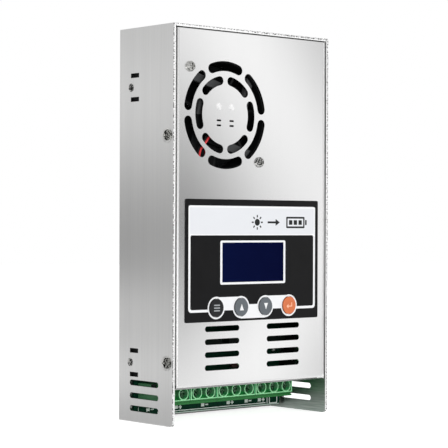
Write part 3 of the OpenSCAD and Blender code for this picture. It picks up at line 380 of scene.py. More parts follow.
def cover_metal(name, color):
    """Smooth sheet with painted shade behind its front face and along the top bend, and painted highlights,
    near white, on the bosses and the right bend's turn.
    """
    front_depth = 0.35
    # The painted shade starts further back on the right bend.
    right_x, right_extra = 50.0, 0.65  # the right bend stays bright further back
    turn_x, turn_depth = 53.9, 1.0
    top_line = COVER_TOP - 0.45
    turn_top = COVER_TOP - 0.8
    boss_depth, boss_highlight_share = -0.01, 0.5
    boss_z = FAN_Z + BOSS_Z
    bosses_at = [(FAN_X - BOSS_X, boss_z), (FAN_X + BOSS_X, boss_z)]
    g = material_graph(name)
    x, y, z = g.layout()
    tone, grain = grain_tone(g, color, (1400, 1400, 20), 0.006)
    behind = g.math("ADD", front_depth, g.math("MULTIPLY", g.above(x, right_x), right_extra))
    # Painted shade: the sheet behind its front face, in the gaps at the bends, is darkened.
    tone = g.mix(g.above(y, behind), tone, scaled(color, 0.26))
    # Painted shade: a dark line along the top bend.
    tone = g.mix(g.above(z, top_line), tone, scaled(color, 0.10))
    # Painted highlights, near white and not metallic: on the right bend's turn, and at half strength on the
    # bosses.
    turn = g.every(g.above(x, turn_x), g.below(y, turn_depth), g.below(z, turn_top))
    bosses = g.every(g.below(g.reach(x, z, bosses_at), BOSS_R), g.below(y, boss_depth))
    painted_highlights = g.either(turn, g.math("MULTIPLY", bosses, boss_highlight_share))
    tone = g.mix(painted_highlights, tone, grey(0.97))
    shine = g.ramp(grain, 0.25, 0.75, 0.268, 0.252)
    return g.surface(tone, shine, g.math("SUBTRACT", 1.0, painted_highlights), specular=0.3)


# ---------------------------------------------------------------- other metals
def plain_metal(name, color, rough):
    """Even metal with a fine grain."""
    g = material_graph(name)
    fine = g.noise(900, 3.0)
    tone = g.mix(g.ramp(fine, 0.3, 0.7), scaled(color, 0.88), scaled(color, 1.08))
    shine = g.ramp(fine, 0.3, 0.7, rough - 0.06, rough + 0.08)
    return g.surface(tone, shine, 1.0, g.bump(fine, 0.000005))


def pitted_metal(name, dark, light, rough):
    """Metal with dark and light spots."""
    g = material_graph(name)
    pits = g.noise(1100, 1.0)
    return g.surface(g.mix(g.ramp(pits, 0.46, 0.64), dark, light), rough, 1.0, g.bump(pits, 0.00002))


def screw_head(name, centres, plane, core_r, core_tones, rim_tones, worn=None):
    """Rim round a pitted core at each of the centres in the plane of two axes; on the side screws the light
    rim is a painted highlight and the dark core a painted dark reflection. Cores on the low side of worn, a
    limit on the first axis, are lighter."""
    g = material_graph(name)
    places = dict(zip("xyz", g.layout()))
    across, along = places[plane[0]], places[plane[1]]
    pits = g.noise(1250, 1.0)
    core = g.mix(g.ramp(pits, 0.44, 0.58), *core_tones)
    if worn is not None:
        core = g.mix(g.math("MULTIPLY", g.below(across, worn), 0.6), core, rim_tones[1])
    # A light rim is a painted highlight.
    rim = g.mix(g.ramp(g.noise(900, 2.0), 0.35, 0.65), *rim_tones)
    tone = g.mix(g.above(g.reach(across, along, centres), core_r), core, rim)
    return g.surface(tone, 0.34, 1.0, g.bump(pits, 0.00002))


def wound_copper(name):
    """Enamelled copper wire."""
    g = material_graph(name)
    fine = g.noise(700, 3.0)
    tone = g.mix(g.ramp(fine, 0.3, 0.7), hex_linear("#8A4A22"), hex_linear("#C27B45"))
    return g.surface(tone, 0.3, 0.6, g.bump(fine, 0.000005), coat=0.5)


# ---------------------------------------------------------------- plastics, boards and prints
def fan_plastic(name):
    """Black frame with a painted highlight on its bars, but for the lower left one."""
    bar_start, bar_end = 14.3, 28.4
    g = material_graph(name)
    x, y, z = g.layout()
    far = g.reach(x, z, [(FAN_X, FAN_Z)])
    # Painted highlight on the bars, but for the lower left one.
    lit = g.either(g.above(x, FAN_X), g.above(z, FAN_Z))
    bars = g.every(g.below(far, bar_end), g.above(far, bar_start), lit)
    fine = g.noise(1500, 2.0)
    tone = g.mix(bars, hex_linear("#0C0D0E"), g.mix(fine, hex_linear("#3C3D3E"), hex_linear("#4C4D4E")))
    return g.surface(tone, 0.5, 0.0, g.bump(fine, 0.00001), specular=0.15)


def pole_places():
    """Middles of the ten poles, and the left faces of the end walls that show: the left walls of the
    second to fourth block and the last block's right wall."""
    poles, walls = [], []
    x = FIRST_POLE
    for count in BLOCKS:
        walls.append(x - POLE_PITCH / 2)
        poles += [x + POLE_PITCH * k for k in range(count)]
        x += POLE_PITCH * count + BLOCK_GAP
    last_wall = poles[-1] + POLE_PITCH / 2 - BLOCK_WALL_T
    return poles, [*walls[1:], last_wall]


def terminal_green(name):
    """Green housing plastic with painted light and shade: painted highlights on the wells' edges, the end
    walls' fronts, the ledge and the faces turned up and left; painted shade on the faces behind the wells'
    edges, on the band under the ledge and at the upper left corner.
    """
    ledge_low, ledge_high = 11.3, 11.85
    step_y = 20.0  # the faces behind the wells' rims start here
    corner_x, corner_z = -47.6, 18.6
    g = material_graph(name)
    x, y, z = g.layout()
    normal_x, normal_y, normal_z = g.axes("Normal")
    to_front = g.below(normal_y, -0.9)
    poles, walls = pole_places()
    rims = g.below(g.reach(x, z, [(pole, POLE_Z) for pole in poles]), WELL_RIM_R)
    for wall in walls:
        wall_end = wall + BLOCK_WALL_T
        rims = g.either(rims, g.every(g.above(x, wall - SKIN), g.below(x, wall_end + SKIN),
                                      g.above(z, ledge_high - SKIN)))
    rims = g.either(rims, g.every(g.above(z, ledge_low), g.below(z, ledge_high)))
    fine = g.noise(1400, 2.0)
    tone = g.mix(fine, (0.038, 0.36, 0.110), (0.055, 0.44, 0.145))
    # Painted shade on the faces behind the wells' edges.
    tone = g.mix(g.every(to_front, g.above(y, step_y)), tone, (0.014, 0.31, 0.060))
    # Painted shade on the band under the ledge.
    tone = g.mix(g.every(to_front, g.below(z, ledge_low + 2 * SKIN)), tone, (0.018, 0.17, 0.036))
    # Painted shade at the upper left corner.
    corner = g.every(to_front, g.above(y, step_y), g.below(x, corner_x), g.above(z, corner_z))
    tone = g.mix(corner, tone, (0.006, 0.02, 0.012))
    # Painted light on the faces turned up.
    tone = g.mix(g.above(normal_z, 0.8), tone, (0.19, 0.76, 0.29))
    # Painted light on the faces turned left.
    tone = g.mix(g.below(normal_x, -0.9), tone, (0.11, 0.34, 0.16))
    # Painted highlight on the fronts of the wells' edges, the end walls and the ledge.
    tone = g.mix(g.every(to_front, g.below(y, WELL_RIM_Y), rims), tone, (0.37, 0.90, 0.46))
    return g.surface(tone, 0.34, 0.0, g.bump(fine, 0.00001), specular=0.3)


def moulded(name, color, rough, scale=1800.0, bump=0.000006, vary=0.12, specular=0.5):
    """Plastic of one colour that varies a little, with a fine skin texture."""
    g = material_graph(name)
    fine = g.noise(scale, 2.0)
    broad = g.noise(90, 3.0)
    tone = g.mix(g.ramp(broad, 0.3, 0.7), scaled(color, 1 - vary), scaled(color, 1 + vary))
    shine = g.ramp(fine, 0.3, 0.7, rough - 0.04, rough + 0.05)
    return g.surface(tone, shine, 0.0, g.bump(fine, bump), specular=specular)


def key_plastic(name, color, vary):
    """Smooth plastic of a key's cap."""
    return moulded(name, hex_linear(color), 0.34, scale=2400.0, bump=0.000003, vary=vary, specular=0.3)


def board_green(name):
    """Solder mask over copper tracks."""
    g = material_graph(name)
    track = g.ramp(g.bricks(160.0, 0.06, 0.35), 0.0, 1.0)
    tone = g.mix(track, hex_linear("#0A3A28"), hex_linear("#052B1E"))
    dust = g.noise(400, 3.0)
    tone = g.mix(g.ramp(dust, 0.4, 0.7, 0.0, 0.25), tone, hex_linear("#0F4632"))
    return g.surface(tone, 0.4, 0.0, g.bump(g.math("SUBTRACT", 1.0, track), 0.00002), specular=0.04)


def panel_print(name, color, rough=0.5):
    """Layer of ink."""
    ink = hex_linear(color)
    g = material_graph(name)
    fine = g.noise(2600, 2.0)
    tone = g.mix(g.ramp(fine, 0.35, 0.65), scaled(ink, 0.965), ink)
    shine = g.ramp(fine, 0.3, 0.7, rough - 0.05, rough + 0.05)
    return g.surface(tone, shine, 0.0, g.bump(fine, 0.000003), specular=0.3)


def display_glass(name):
    """Window over a dark blue screen with a fine raster, and a painted reflection that makes it a little
    lighter towards its left side.
    """
    fade = 24.0
    g = material_graph(name)
    x = g.layout()[0]
    # Painted reflection: lighter towards the left side.
    across = g.ramp(x, -fade, fade, 1.0, 0.0)
    cloud = g.noise(60, 2.0)
    reflection_fade = g.math("ADD", g.math("MULTIPLY", across, 0.6), g.math("MULTIPLY", cloud, 0.4))
    tone = g.mix(g.ramp(reflection_fade, 0.1, 0.9), hex_linear("#04082C"), hex_linear("#081138"))
    raster = g.bricks(1600.0, 0.05, 0.5, offset=0.0)
    tone = g.mix(g.ramp(raster, 0.0, 1.0, 0.0, 0.25), tone, hex_linear("#04072A"))
    return g.surface(tone, 0.22, 0.0, specular=0.01)


# Cores of the screw heads in the side walls, a little in front of the heads' middles
SIDE_CORES = [(3.85, 34.0), (3.95, 155.45)]
FAN_SCREWS = [(FAN_X + side * FAN_PITCH / 2, FAN_Z - side * FAN_PITCH / 2) for side in (-1, 1)]
LIGHT_CORE_LIMIT_X = -20.0  # between the two screws of the fan; the left one's core is lighter

MATS = {
    "case": case_metal("case_metal", (0.80, 0.80, 0.795)),
    "cover": cover_metal("cover_metal", grey(0.93)),
    # Side screws: the light rim is a painted highlight and the dark core a painted dark reflection.
    "side_screw": screw_head("side_screw", SIDE_CORES, "yz", core_r=2.95,
                             core_tones=[(0.015, 0.015, 0.014), (0.50, 0.50, 0.47)],
                             rim_tones=[(0.62, 0.62, 0.60), (0.95, 0.95, 0.94)]),
    "fan_screw": screw_head("fan_screw", FAN_SCREWS, "xz", core_r=2.9,
                            core_tones=[grey(0.03), (0.74, 0.74, 0.72)],
                            rim_tones=[(0.22, 0.22, 0.21), (0.56, 0.56, 0.54)], worn=LIGHT_CORE_LIMIT_X),
    # Dark core with light specks for the insides of the mounting holes: painted shade with painted glints.
    "bore": screw_head("bore_shade_and_glints", MOUNT_HOLES, "yz", core_r=6.0,
                       core_tones=[grey(0.02), (0.50, 0.50, 0.48)],
                       rim_tones=[(0.60, 0.60, 0.58), (0.86, 0.86, 0.85)]),
    "screw": plain_metal("zinc_screw", (0.30, 0.30, 0.29), 0.3),
    "steel": plain_metal("ground_steel", (0.55, 0.55, 0.56), 0.3),
    # Clamp steel painted dark green with pale green spots: the green housing's painted reflection, painted
    # shade in the wells and painted highlights.
    "clamp": pitted_metal("clamp_green_reflection", (0.045, 0.15, 0.07), (0.42, 0.60, 0.46), 0.36),
    "nickel": plain_metal("plated_contact", (0.68, 0.64, 0.55), 0.3),
    "brass": plain_metal("turned_brass", (0.62, 0.47, 0.22), 0.32),
    "bronze": plain_metal("sintered_bronze", (0.45, 0.30, 0.13), 0.5),
    "frame_steel": plain_metal("display_frame", (0.28, 0.285, 0.30), 0.42),
    "sink": brushed_metal("sink_aluminium", (0.55, 0.555, 0.56), 0.42, scale=(900, 900, 30), streak=0.06),
    "copper": wound_copper("wound_copper"),
    "label": moulded("label_film", hex_linear("#171718"), 0.42, scale=3000.0, bump=0.000004, vary=0.10,
                     specular=0.10),
    "window": display_glass("display_window"),
    "key_black": key_plastic("key_black", "#1B1C1E", 0.06),
    "key_grey": key_plastic("key_grey", "#62686D", 0.05),
    "key_orange": key_plastic("key_orange", "#DB7748", 0.05),
    "white_print": panel_print("white_print", "#F4F5F7"),
    "pale_print": panel_print("pale_print", "#E6E8EC"),
    "black_print": panel_print("black_print", "#1B1C1D"),
    "icon": panel_print("key_icon", "#F2F3F4"),
    "icon_dim": panel_print("key_icon_dim", "#A9ADB0"),
    "icon_warm": panel_print("key_icon_warm", "#FFC7A6"),
    "silk": panel_print("board_silkscreen", "#FAFFFC", 0.6),
    "board_edge": panel_print("board_edge", "#C9DCD2", 0.6),
    "black": moulded("black_plastic", hex_linear("#101112"), 0.42, scale=1500.0, bump=0.000008, vary=0.15,
                     specular=0.2),
    "fan_bar": fan_plastic("fan_frame_plastic"),
    "green": terminal_green("terminal_green"),
    "board": board_green("board_mask"),
    "core": moulded("core_coating", (0.62, 0.47, 0.06), 0.5),
    "red_wire": moulded("red_wire", (0.62, 0.035, 0.04), 0.36),
    "ivory": moulded("ivory_plastic", (0.80, 0.76, 0.64), 0.42),
    "film": moulded("insulation_film", (0.62, 0.58, 0.48), 0.5),
    # Near black sheets that stand in for the shade inside the case: painted shade.
    "shade_sheet": moulded("shade_sheet", hex_linear("#0E0F10"), 0.5, specular=0.1),
    "sleeve": moulded("capacitor_sleeve", (0.016, 0.018, 0.03), 0.26),
    # The fuses are darkened to near black: painted shade inside the case.
    "fuse": moulded("fuse_plastic", (0.010, 0.016, 0.013), 0.4, specular=0.1),
    "ribbon": moulded("ribbon_cable", (0.36, 0.37, 0.38), 0.5),
    "cell": moulded("display_cell", (0.01, 0.015, 0.07), 0.15),
    "ceramic": moulded("ceramic_part", hex_linear("#4A1C18"), 0.4),
}

# Looks of the CAD's nodes. The clamp screws and plates aren't listed: they take the clamp material, steel
# painted with the green housing's reflection.
NODE_MATS = {
    "chassis": "case", "front_cover": "cover", "cover_screws": "side_screw", "label_overlay": "label",
    "display_window": "window", "lcd_bezel": "frame_steel", "lcd_glass": "cell", "display_board": "board",
    "display_posts": "brass", "inner_screws": "screw", "tact_switches": "black",
    "key_menu": "key_black", "key_up": "key_grey", "key_down": "key_grey", "key_enter": "key_orange",
    "fan_frame": "fan_bar", "fan_rotor": "black", "fan_shaft": "steel", "fan_bearing": "bronze",
    "fan_stator": "copper", "fan_screws": "fan_screw", "fan_nuts": "screw",
    "fan_lead": "red_wire", "fan_lead_black": "black", "fan_plug": "ivory",
    "main_board": "board", "board_standoffs": "brass", "board_screws": "screw", "insulation_sheet": "film",
    "terminal_housings": "green", "terminal_contacts": "nickel", "heatsink": "sink",
    "power_transistors": "black", "capacitors": "sleeve", "inductor_cores": "core",
    "inductor_windings": "copper", "fuses": "fuse", "controller_chip": "black", "ribbon_cable": "ribbon",
    "ribbon_connectors": "black",
}


def dress_nodes():
    """Gives each of the CAD's nodes one material."""
    for name, node in nodes.items():
        node.data.materials.clear()
        node.data.materials.append(MATS[NODE_MATS.get(name, "clamp")])
        for polygon in node.data.polygons:
            polygon.material_index = 0


# ---------------------------------------------------------------- outlines
def arc(cx, cz, r, start, end, steps=8):
    """Points on a circle from one angle to another, in degrees."""
    angles = [math.radians(start + (end - start) * k / steps) for k in range(steps + 1)]
    return [(cx + r * math.cos(a), cz + r * math.sin(a)) for a in angles]


def disc(cx, cz, r, steps=64):
    return arc(cx, cz, r, 0, 360, steps)[:-1]


def rounded(x0, z0, x1, z1, r):
    return (arc(x1 - r, z1 - r, r, 0, 90) + arc(x0 + r, z1 - r, r, 90, 180)
            + arc(x0 + r, z0 + r, r, 180, 270) + arc(x1 - r, z0 + r, r, 270, 360))


def bar(x0, z0, x1, z1):
    return [(x0, z0), (x1, z0), (x1, z1), (x0, z1)]


def shifted(outline, x, z):
    return [(x + dx, z + dz) for dx, dz in outline]


# ---------------------------------------------------------------- printed pieces
def link(name, mesh, material):
    """Object of this name for a mesh, placed in the scene."""
    obj = bpy.data.objects.new(name, mesh)
    mesh.materials.append(material)
    bpy.context.scene.collection.objects.link(obj)
    return obj


def slab(loops, base):
    """Faces of a slab whose points, all of the front face and then all of the back face, start at base."""
    flat = [p for loop in loops for p in loop]
    count = len(flat)
    faces = []
    for a, b, c in tessellate_polygon([[Vector((x, z, 0)) for x, z in loop] for loop in loops]):
        pa, pb, pc = flat[a], flat[b], flat[c]
        turn = (pb[0] - pa[0]) * (pc[1] - pa[1]) - (pb[1] - pa[1]) * (pc[0] - pa[0])
        if turn < 0:
            b, c = c, b
        faces.append((base + a, base + b, base + c))
        faces.append((base + count + a, base + count + c, base + count + b))
    start = base
    for loop in loops:
        n = len(loop)
        for k in range(n):
            i, j = start + k, start + (k + 1) % n
            faces.append((i, count + i, count + j, j))
        start += n
    return faces


def flat_piece(name, shapes, near, depth, material, body, sideways=False):
    """Thin piece drawn in x and z, each shape a list of loops: outline, then holes. Its front face is at
    y = near. A sideways one is drawn in y and z and stands at x = near."""
    verts, faces = [], []
    for loops in shapes:
        faces += slab(loops, len(verts))
        for level in (near, near + depth):
            for a, z in (p for loop in loops for p in loop):
                x, y = (level, a) if sideways else (a, level)
                verts.append((x * MM, (y - MID_Y) * MM, z * MM))
    mesh = bpy.data.meshes.new(name)
    mesh.from_pydata(verts, [], faces)
    mesh.validate()
    mesh.update()
    obj = link(name, mesh, MATS[material])
    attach(obj, body)


PRINT_T = 0.05
SINK_IN = 0.01  # print reaches this far into what it lies on
KEY_RING_R = 6.1
# Left, low, right and high limits of the white frame line and of the black field inside it
LINE = (-47.2, 60.5, 47.0, 118.1)
FIELD = (-45.8, 61.9, 45.6, 102.0)
# Low and high limits of the white band between the keys, raised at the sides and lowered in the middle
RAISED_BAND = (61.1, 68.4)
LOWERED_BAND = (56.3, 64.0)


def band_limits(x):
    """Lowest and highest point of the white line round the keys at x."""
    spans = []
    for key_x in KEY_X:
        if abs(x - key_x) < KEY_RING_R:
            half = math.sqrt(KEY_RING_R ** 2 - (x - key_x) ** 2)
            spans.append((KEY_Z - half, KEY_Z + half))
    if KEY_X[0] <= x <= KEY_X[1] or KEY_X[2] <= x <= KEY_X[3]:
        spans.append(RAISED_BAND)
    if KEY_X[1] <= x <= KEY_X[2]:
        spans.append(LOWERED_BAND)
    if x <= KEY_X[0] or x >= KEY_X[3]:
        spans.append((LINE[1], FIELD[1]))
    return min(s[0] for s in spans), max(s[1] for s in spans)


LINE_LOW_R, LINE_HIGH_R = 2.0, 1.2  # corner radii of the frame line and of the field
FIELD_LOW_R, FIELD_HIGH_R = 1.2, 1.0


def line_outline(xs):
    """Outline of the white frame line, with the band's lowest points at each of the xs."""
    left, low, right, high = LINE
    low_r, high_r = LINE_LOW_R, LINE_HIGH_R
    return (arc(left + low_r, low + low_r, low_r, 180, 270)[:-1] + [(x, band_limits(x)[0]) for x in xs]
            + arc(right - low_r, low + low_r, low_r, 270, 360)[1:]
            + arc(right - high_r, high - high_r, high_r, 0, 90)
            + arc(left + high_r, high - high_r, high_r, 90, 180))


def field_outline(xs):
    """Outline of the black field, with the band's highest points at those of the xs between its corners."""
    left, low, right, high = FIELD
    low_r, high_r = FIELD_LOW_R, FIELD_HIGH_R
    band = [(x, band_limits(x)[1]) for x in xs if left + low_r < x < right - low_r]
    return (arc(left + low_r, low + low_r, low_r, 180, 270) + band
            + arc(right - low_r, low + low_r, low_r, 270, 360)
            + arc(right - high_r, high - high_r, high_r, 0, 90)
            + arc(left + high_r, high - high_r, high_r, 90, 180))


def window_frame():
    """Outline and opening of the frame round the window."""
    side_t, low_t, high_t = 1.45, 1.2, 1.1
    corner_r, opening_r = 1.0, 0.15
    left, right = PANEL_X - WINDOW_W / 2, PANEL_X + WINDOW_W / 2
    low, high = WINDOW_Z - WINDOW_H / 2, WINDOW_Z + WINDOW_H / 2
    return [rounded(left - side_t, low - low_t, right + side_t, high + high_t, corner_r),
            rounded(left, low, right, high, opening_r)]


def label_print():
    """White frame line with the rings round the keys, and the frame round the window."""
    steps = 900
    left, right = LINE[0] + LINE_LOW_R, LINE[2] - LINE_LOW_R
    xs = [left + (right - left) * k / steps for k in range(steps + 1)]
    keys = [disc(x, KEY_Z, KEY_HOLE_R) for x in KEY_X]
    frame_line = [line_outline(xs), field_outline(xs), *keys]
    flat_piece("label_print", [frame_line, window_frame()], LABEL_FRONT - PRINT_T, PRINT_T + SINK_IN,
               "white_print", "case")


def key_icon(name, shapes, key, material, body):
    """Icon on one of the keys. Its shapes are drawn round the key's middle."""
    placed = [[shifted(shape, KEY_X[key], KEY_Z)] for shape in shapes]
    flat_piece(name, placed, KEY_FRONT - PRINT_T + SINK_IN, PRINT_T, material, body)


def key_icons():
    """Three lines, a triangle up, a triangle down and a bent arrow."""
    line_half, line_half_t, line_pitch = 2.1, 0.32, 1.5
    half_w, half_h = 1.45, 1.8
    lines = [bar(-line_half, k * line_pitch - line_half_t, line_half, k * line_pitch + line_half_t)
             for k in (-1, 0, 1)]
    key_icon("icon_menu", lines, 0, "icon_dim", "menu_key")
    up = [(-half_w, -half_h), (half_w, -half_h), (0, half_h)]
    key_icon("icon_up", [up], 1, "icon", "up_key")
    down = [(-half_w, half_h), (0, -half_h), (half_w, half_h)]
    key_icon("icon_down", [down], 2, "icon", "down_key")
    bent = [(1.9, 1.6), (1.4, 1.6), (1.4, -0.25), (-0.9, -0.25), (-0.9, 0.75), (-2.3, -0.5),
            (-0.9, -1.75), (-0.9, -0.75), (1.9, -0.75)]
    key_icon("icon_enter", [bent], 3, "icon_warm", "enter_key")


def sun(x, z):
    """Disc with eight rays."""
    disc_r, ray_start, ray_end, ray_half = 1.9, 2.7, 4.1, 0.4
    shapes = [[disc(x, z, disc_r, 32)]]
    for k in range(8):
        angle = math.radians(45 * k)
        c, s = math.cos(angle), math.sin(angle)
        corners = bar(ray_start, -ray_half, ray_end, ray_half)
        shapes.append([[(x + c * r - s * w, z + s * r + c * w) for r, w in corners]])
    return shapes


def arrow(x, z):
    """Arrow to the right, from its tail."""
    shaft, tip, half, head_half = 6.0, 9.2, 0.55, 1.9
    lower = [(0, -half), (shaft, -half), (shaft, -head_half)]
    upper = [(shaft, head_half), (shaft, half), (0, half)]
    return [[shifted([*lower, (tip, 0), *upper], x, z)]]


def battery(x, z):
    """Case with three cells and a terminal, from its left end."""
    w, half, t = 14.2, 3.2, 1.0
    cell_w, cell_pitch, cell_start, cell_half = 2.6, 3.7, 2.1, 1.3
    end_start, end_stop, end_half = w + 0.5, w + 1.7, 1.4
    outer_r, inner_r = 0.6, 0.2
    outer = rounded(x, z - half, x + w, z + half, outer_r)
    inner = rounded(x + t, z - half + t, x + w - t, z + half - t, inner_r)
    shapes = [[outer, inner], [bar(x + end_start, z - end_half, x + end_stop, z + end_half)]]
    for k in range(3):
        left = x + cell_start + cell_pitch * k
        shapes.append([bar(left, z - cell_half, left + cell_w, z + cell_half)])
    return shapes


def title_print():
    """Pale fill of the title band, with a sun, an arrow and a battery."""
    inset, lower_inset, corner_r = 1.1, 0.8, 0.6
    sun_x, arrow_x, battery_x, middle_z = 2.4, 10.2, 24.4, 109.2
    layer_t = 0.03
    fill_front = LABEL_FRONT - PRINT_T - layer_t + SINK_IN
    picture_front = fill_front - layer_t + SINK_IN
    fill = rounded(LINE[0] + inset, FIELD[3] + lower_inset, LINE[2] - inset, LINE[3] - inset, corner_r)
    flat_piece("title_fill", [[fill]], fill_front, layer_t, "pale_print", "case")
    shapes = sun(sun_x, middle_z) + arrow(arrow_x, middle_z) + battery(battery_x, middle_z)
    flat_piece("title_pictogram", shapes, picture_front, layer_t, "black_print", "case")


def side_shade_sheets():
    """Dark sheets of painted shade behind the hooking slots of the side walls, and discs of painted shade
    with painted glints at the far ends of the mounting holes.
    """
    front, back, below, above = 26.0, 45.6, 9.2, 11.0
    shade_sheet_t, opening_r = 0.26, 2.95
    end_t, end_r = 0.06, 2.6
    for side, shade_sheet_x, end_x in (("left", -56.01, -54.80), ("right", 55.75, 54.74)):
        # Painted shade: dark sheets behind the slots, where the inside of the case is in shade.
        shade_sheets = [[bar(front, z - below, back, z + above), disc(MOUNT_Y, z, opening_r, 32)]
                 for z in MOUNT_ZS]
        flat_piece("side_shade_sheet_" + side, shade_sheets, shade_sheet_x, shade_sheet_t, "shade_sheet", "case", sideways=True)
        # Discs at the far ends of the mounting holes: painted shade with painted glints.
        ends = [[disc(MOUNT_Y, z, end_r, 32)] for z in MOUNT_ZS]
        flat_piece("bore_shade_disc_" + side, ends, end_x, end_t, "bore", "case", sideways=True)


def sign(x, z, plus):
    """Minus sign from one bar, or plus sign from three."""
    half, half_t = 1.1, 0.375
    bars = [bar(-half, -half_t, half, half_t)]
    if plus:
        bars += [bar(-half_t, half_t, half_t, half), bar(-half_t, -half, half_t, -half_t)]
    return [[shifted(outline, x, z)] for outline in bars]


def board_print():
    """Lines and a spot, filled boxes with signs below the terminals, a pale margin and one small part."""
    marks_z, mark_xs = 5.5, (-43.2, -23.1, -3.6, 15.7, 29.6, 39.9)
    box_start, box_end, box_half, sign_at = -2.6, -0.2, 0.9, 1.6
    marks_t, margin_t, part_t = 0.04, 0.03, 1.6
    lines = [(-38.0, 3.3, 43.4, 3.7), (44.4, 3.0, 44.9, 6.9), (46.2, 2.8, 46.7, 6.9),
             (46.7, 2.8, 52.2, 3.3), (52.2, 2.8, 52.7, 6.9), (-51.5, 4.2, -51.25, 7.2)]
    shapes = [[bar(*line)] for line in lines]
    for k, x in enumerate(mark_xs):
        shapes.append([bar(x + box_start, marks_z - box_half, x + box_end, marks_z + box_half)])
        shapes += sign(x + sign_at, marks_z, plus=k % 2 == 1)
    shapes.append([rounded(18.2, 6.6, 21.0, 7.9, 0.5)])
    margin = [[bar(-54.2, 2.2, 54.2, 2.65)]]
    part = [[rounded(15.6, 25.6, 21.6, 29.0, 1.2)]]
    flat_piece("board_marks", shapes, BOARD_FRONT - marks_t, marks_t + SINK_IN, "silk", "case")
    flat_piece("board_margin", margin, BOARD_FRONT - margin_t, margin_t + SINK_IN, "board_edge", "case")
    flat_piece("ceramic_part", part, BOARD_FRONT - part_t, part_t + SINK_IN, "ceramic", "case")


# ---------------------------------------------------------------- stage and light
def make_floor():
    """Plain white floor of four squares that takes the object's shadow."""
    half, level = 3.0, 0.80
    marks = (-half, 0.0, half)
    mesh = bpy.data.meshes.new("floor")
    mesh.from_pydata([(x, y, 0.0) for y in marks for x in marks], [],
                     [(k, k + 1, k + 4, k + 3) for k in (0, 1, 3, 4)])
    g = material_graph("floor")
    diffuse = g.add("ShaderNodeBsdfDiffuse")
    diffuse.inputs["Color"].default_value = rgba(grey(level))
    emission = g.add("ShaderNodeEmission")
    path = g.add("ShaderNodeLightPath")
    seen_by = ("Is Camera Ray", "Is Glossy Ray", "Is Transmission Ray")
    shown = g.either(*(path.outputs[ray] for ray in seen_by))
    g.link(g.math("MULTIPLY", shown, level), emission.inputs["Strength"])
    total = g.add("ShaderNodeAddShader")
    g.link(diffuse.outputs[0], total.inputs[0])
    g.link(emission.outputs[0], total.inputs[1])
    g.link(total.outputs[0], g.out.inputs["Surface"])
    floor = link("floor", mesh, g.owner)


def make_world():
    """White to the camera, a little below white to reflections, and soft light for the rest."""
    levels = {"Is Diffuse Ray": 0.45, "Is Glossy Ray": 0.74, "Is Transmission Ray": 1.0,
              "Is Camera Ray": 1.0}
    world = bpy.data.worlds.new("world")
    bpy.context.scene.world = world
    g = Graph(world, "ShaderNodeOutputWorld")
    path = g.add("ShaderNodeLightPath")
    background = g.add("ShaderNodeBackground")
    background.inputs["Color"].default_value = rgba(grey(1.0))
    strength = g.either(*(g.math("MULTIPLY", path.outputs[ray], level) for ray, level in levels.items()))
    g.link(strength, background.inputs["Strength"])
    g.link(background.outputs[0], g.out.inputs["Surface"])


def area_light(name, at, size, power):
    """Panel light turned towards the object; neither the camera nor a reflection sees it."""
    data = bpy.data.lights.new(name, "AREA")
    data.shape = "RECTANGLE"
    data.size, data.size_y = size
    data.energy = power
    light = bpy.data.objects.new(name, data)
    bpy.context.scene.collection.objects.link(light)
    light.location = at
    light.rotation_euler = (LIGHT_TARGET - Vector(at)).to_track_quat("-Z", "Y").to_euler()
    light.visible_camera = False
    light.visible_glossy = False


def level_ramp(g, stops, value):
    """Row of grey levels read at a value from 0 to 1."""
    ramp = g.add("ShaderNodeValToRGB")
    ramp.color_ramp.interpolation = "CARDINAL"
    marks = ramp.color_ramp.elements
    while len(marks) < len(stops):
        marks.new(0.5)
    for mark, (spot, level) in zip(marks, stops):
        mark.position = spot
        mark.color = rgba(grey(level))
    g.link(value, ramp.inputs["Fac"])
    return ramp.outputs["Color"]


def studio_card(name, at, facing, size, place, stops, upright=None, gain=1.0):
    """Panel that only reflections see. place(g, x, y) gives the spot on the row of light levels in stops;
    upright is a second row of levels across the panel, times gain."""
    g = material_graph(name)
    x, y, _ = g.axes()
    emission = g.add("ShaderNodeEmission")
    g.link(level_ramp(g, stops, place(g, x, y)), emission.inputs["Color"])
    if upright:
        across = g.ramp(x, -size[0] / 2, size[0] / 2)
        g.link(g.math("MULTIPLY", level_ramp(g, upright, across), gain), emission.inputs["Strength"])
    g.link(emission.outputs[0], g.out.inputs["Surface"])
    w, h = size[0] / 2, size[1] / 2
    mesh = bpy.data.meshes.new(name)
    mesh.from_pydata([(-w, -h, 0), (w, -h, 0), (w, h, 0), (-w, h, 0)], [], [(0, 1, 2, 3)])
    card = link(name, mesh, g.owner)
    card.location = at
    card.rotation_euler = facing.to_track_quat("Z", "Y").to_euler()
    card.visible_camera = False
    card.visible_diffuse = False
    card.visible_shadow = False
    card.visible_transmission = False


def diamond_place(g, x, y):
    """Spot by the distance from a point beside the card's middle, the two axes added."""
    middle_x, middle_y = -0.050, 0.005
    half_x, half_y, half_spot = 0.064, 0.113, 0.4
    across = g.math("ABSOLUTE", g.math("DIVIDE", g.math("SUBTRACT", x, middle_x), half_x))
    along = g.math("ABSOLUTE", g.math("DIVIDE", g.math("SUBTRACT", y, middle_y), half_y))
    return g.math("MULTIPLY", g.math("ADD", across, along), half_spot)


def height_place(g, x, y):
    """Spot by the height on the left card. A card of one level may use it too."""
    return g.math("DIVIDE", g.math("ADD", y, LEFT_CARD / 2), LEFT_CARD)


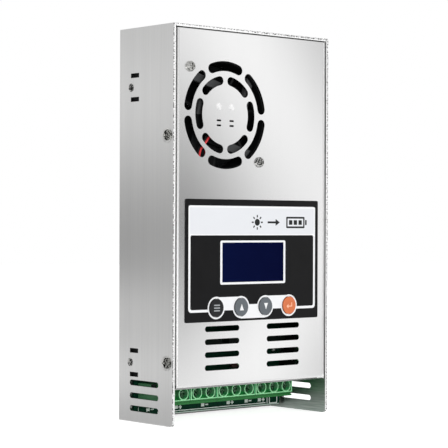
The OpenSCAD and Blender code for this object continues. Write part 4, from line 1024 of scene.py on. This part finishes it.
# Cards, light levels and lights, in metres and watts
UP = Vector((0, 0, 1))
RIGHT_DIRECTION = Vector((0.670, -0.742, 0.0))
RIGHT_DISTANCE = 0.16
RIGHT_START = Vector((0.0, -MID_Y * MM, 0.107))
RIGHT_CARD = (0.34, 0.46)
LEFT_DIRECTION = Vector((-0.621, 0.783, 0.0))
LEFT_DISTANCE = 0.10
LEFT_START = Vector((-HALF_W * MM, 0.0, 0.120))
LEFT_CARD = 0.24
RIGHT_LEVELS = [(0.0, 0.05), (0.10, 0.20), (0.20, 0.35), (0.36, 0.635), (0.44, 0.80), (0.60, 0.965),
                (0.72, 1.0), (0.84, 0.885), (0.98, 0.64)]
RIGHT_UPRIGHT = [(0.30, 0.75), (0.365, 0.86), (0.38, 0.93), (0.40, 0.98), (0.445, 0.985), (0.49, 0.95),
                 (0.54, 0.92), (0.59, 0.875), (0.65, 0.835)]
LEFT_LEVELS = [(0.0, 0.64), (0.085, 0.78), (0.17, 0.60), (0.25, 0.62), (0.36, 0.38), (0.55, 0.50),
               (0.75, 0.74), (1.0, 0.60)]
# Name, middle, size and level of the cards just above the floor
TABLE_CARDS = [("left_table_card", (-0.2090, 0.06, 0.0003), (0.3024, 0.50), 0.50),
               ("right_table_card", (0.16, -0.20, 0.0005), (0.42, 0.34), 0.85)]
LIGHT_TARGET = Vector((0, 0, 0.1))
# Name, place, size and power of the lights
LIGHTS = [("key_light", (-0.55, -1.0, 0.22), (0.8, 0.5), 7.0),
          ("fill_light", (0.9, -0.6, 0.4), (0.8, 0.8), 4.0)]


def make_cards():
    """Cards that the front cover and the left wall mirror, and two that hide the floor from reflections."""
    right_at = RIGHT_START + RIGHT_DIRECTION * RIGHT_DISTANCE
    studio_card("right_card", right_at, RIGHT_DIRECTION, RIGHT_CARD, diamond_place, RIGHT_LEVELS,
                RIGHT_UPRIGHT, gain=1.12)
    left_at = LEFT_START + LEFT_DIRECTION * LEFT_DISTANCE
    studio_card("left_card", left_at, LEFT_DIRECTION, (LEFT_CARD, LEFT_CARD), height_place, LEFT_LEVELS)
    for name, at, size, level in TABLE_CARDS:
        studio_card(name, Vector(at), UP, size, height_place, [(0, level), (1, level)])


def make_lights():
    """Key light from the camera's side and fill light from the right."""
    for name, at, size, power in LIGHTS:
        area_light(name, at, size, power)


make_camera()
dress_nodes()
label_print()
title_print()
key_icons()
side_shade_sheets()
board_print()
make_floor()
make_world()
make_cards()
make_lights()

bpy.context.scene.view_settings.view_transform = "Standard"
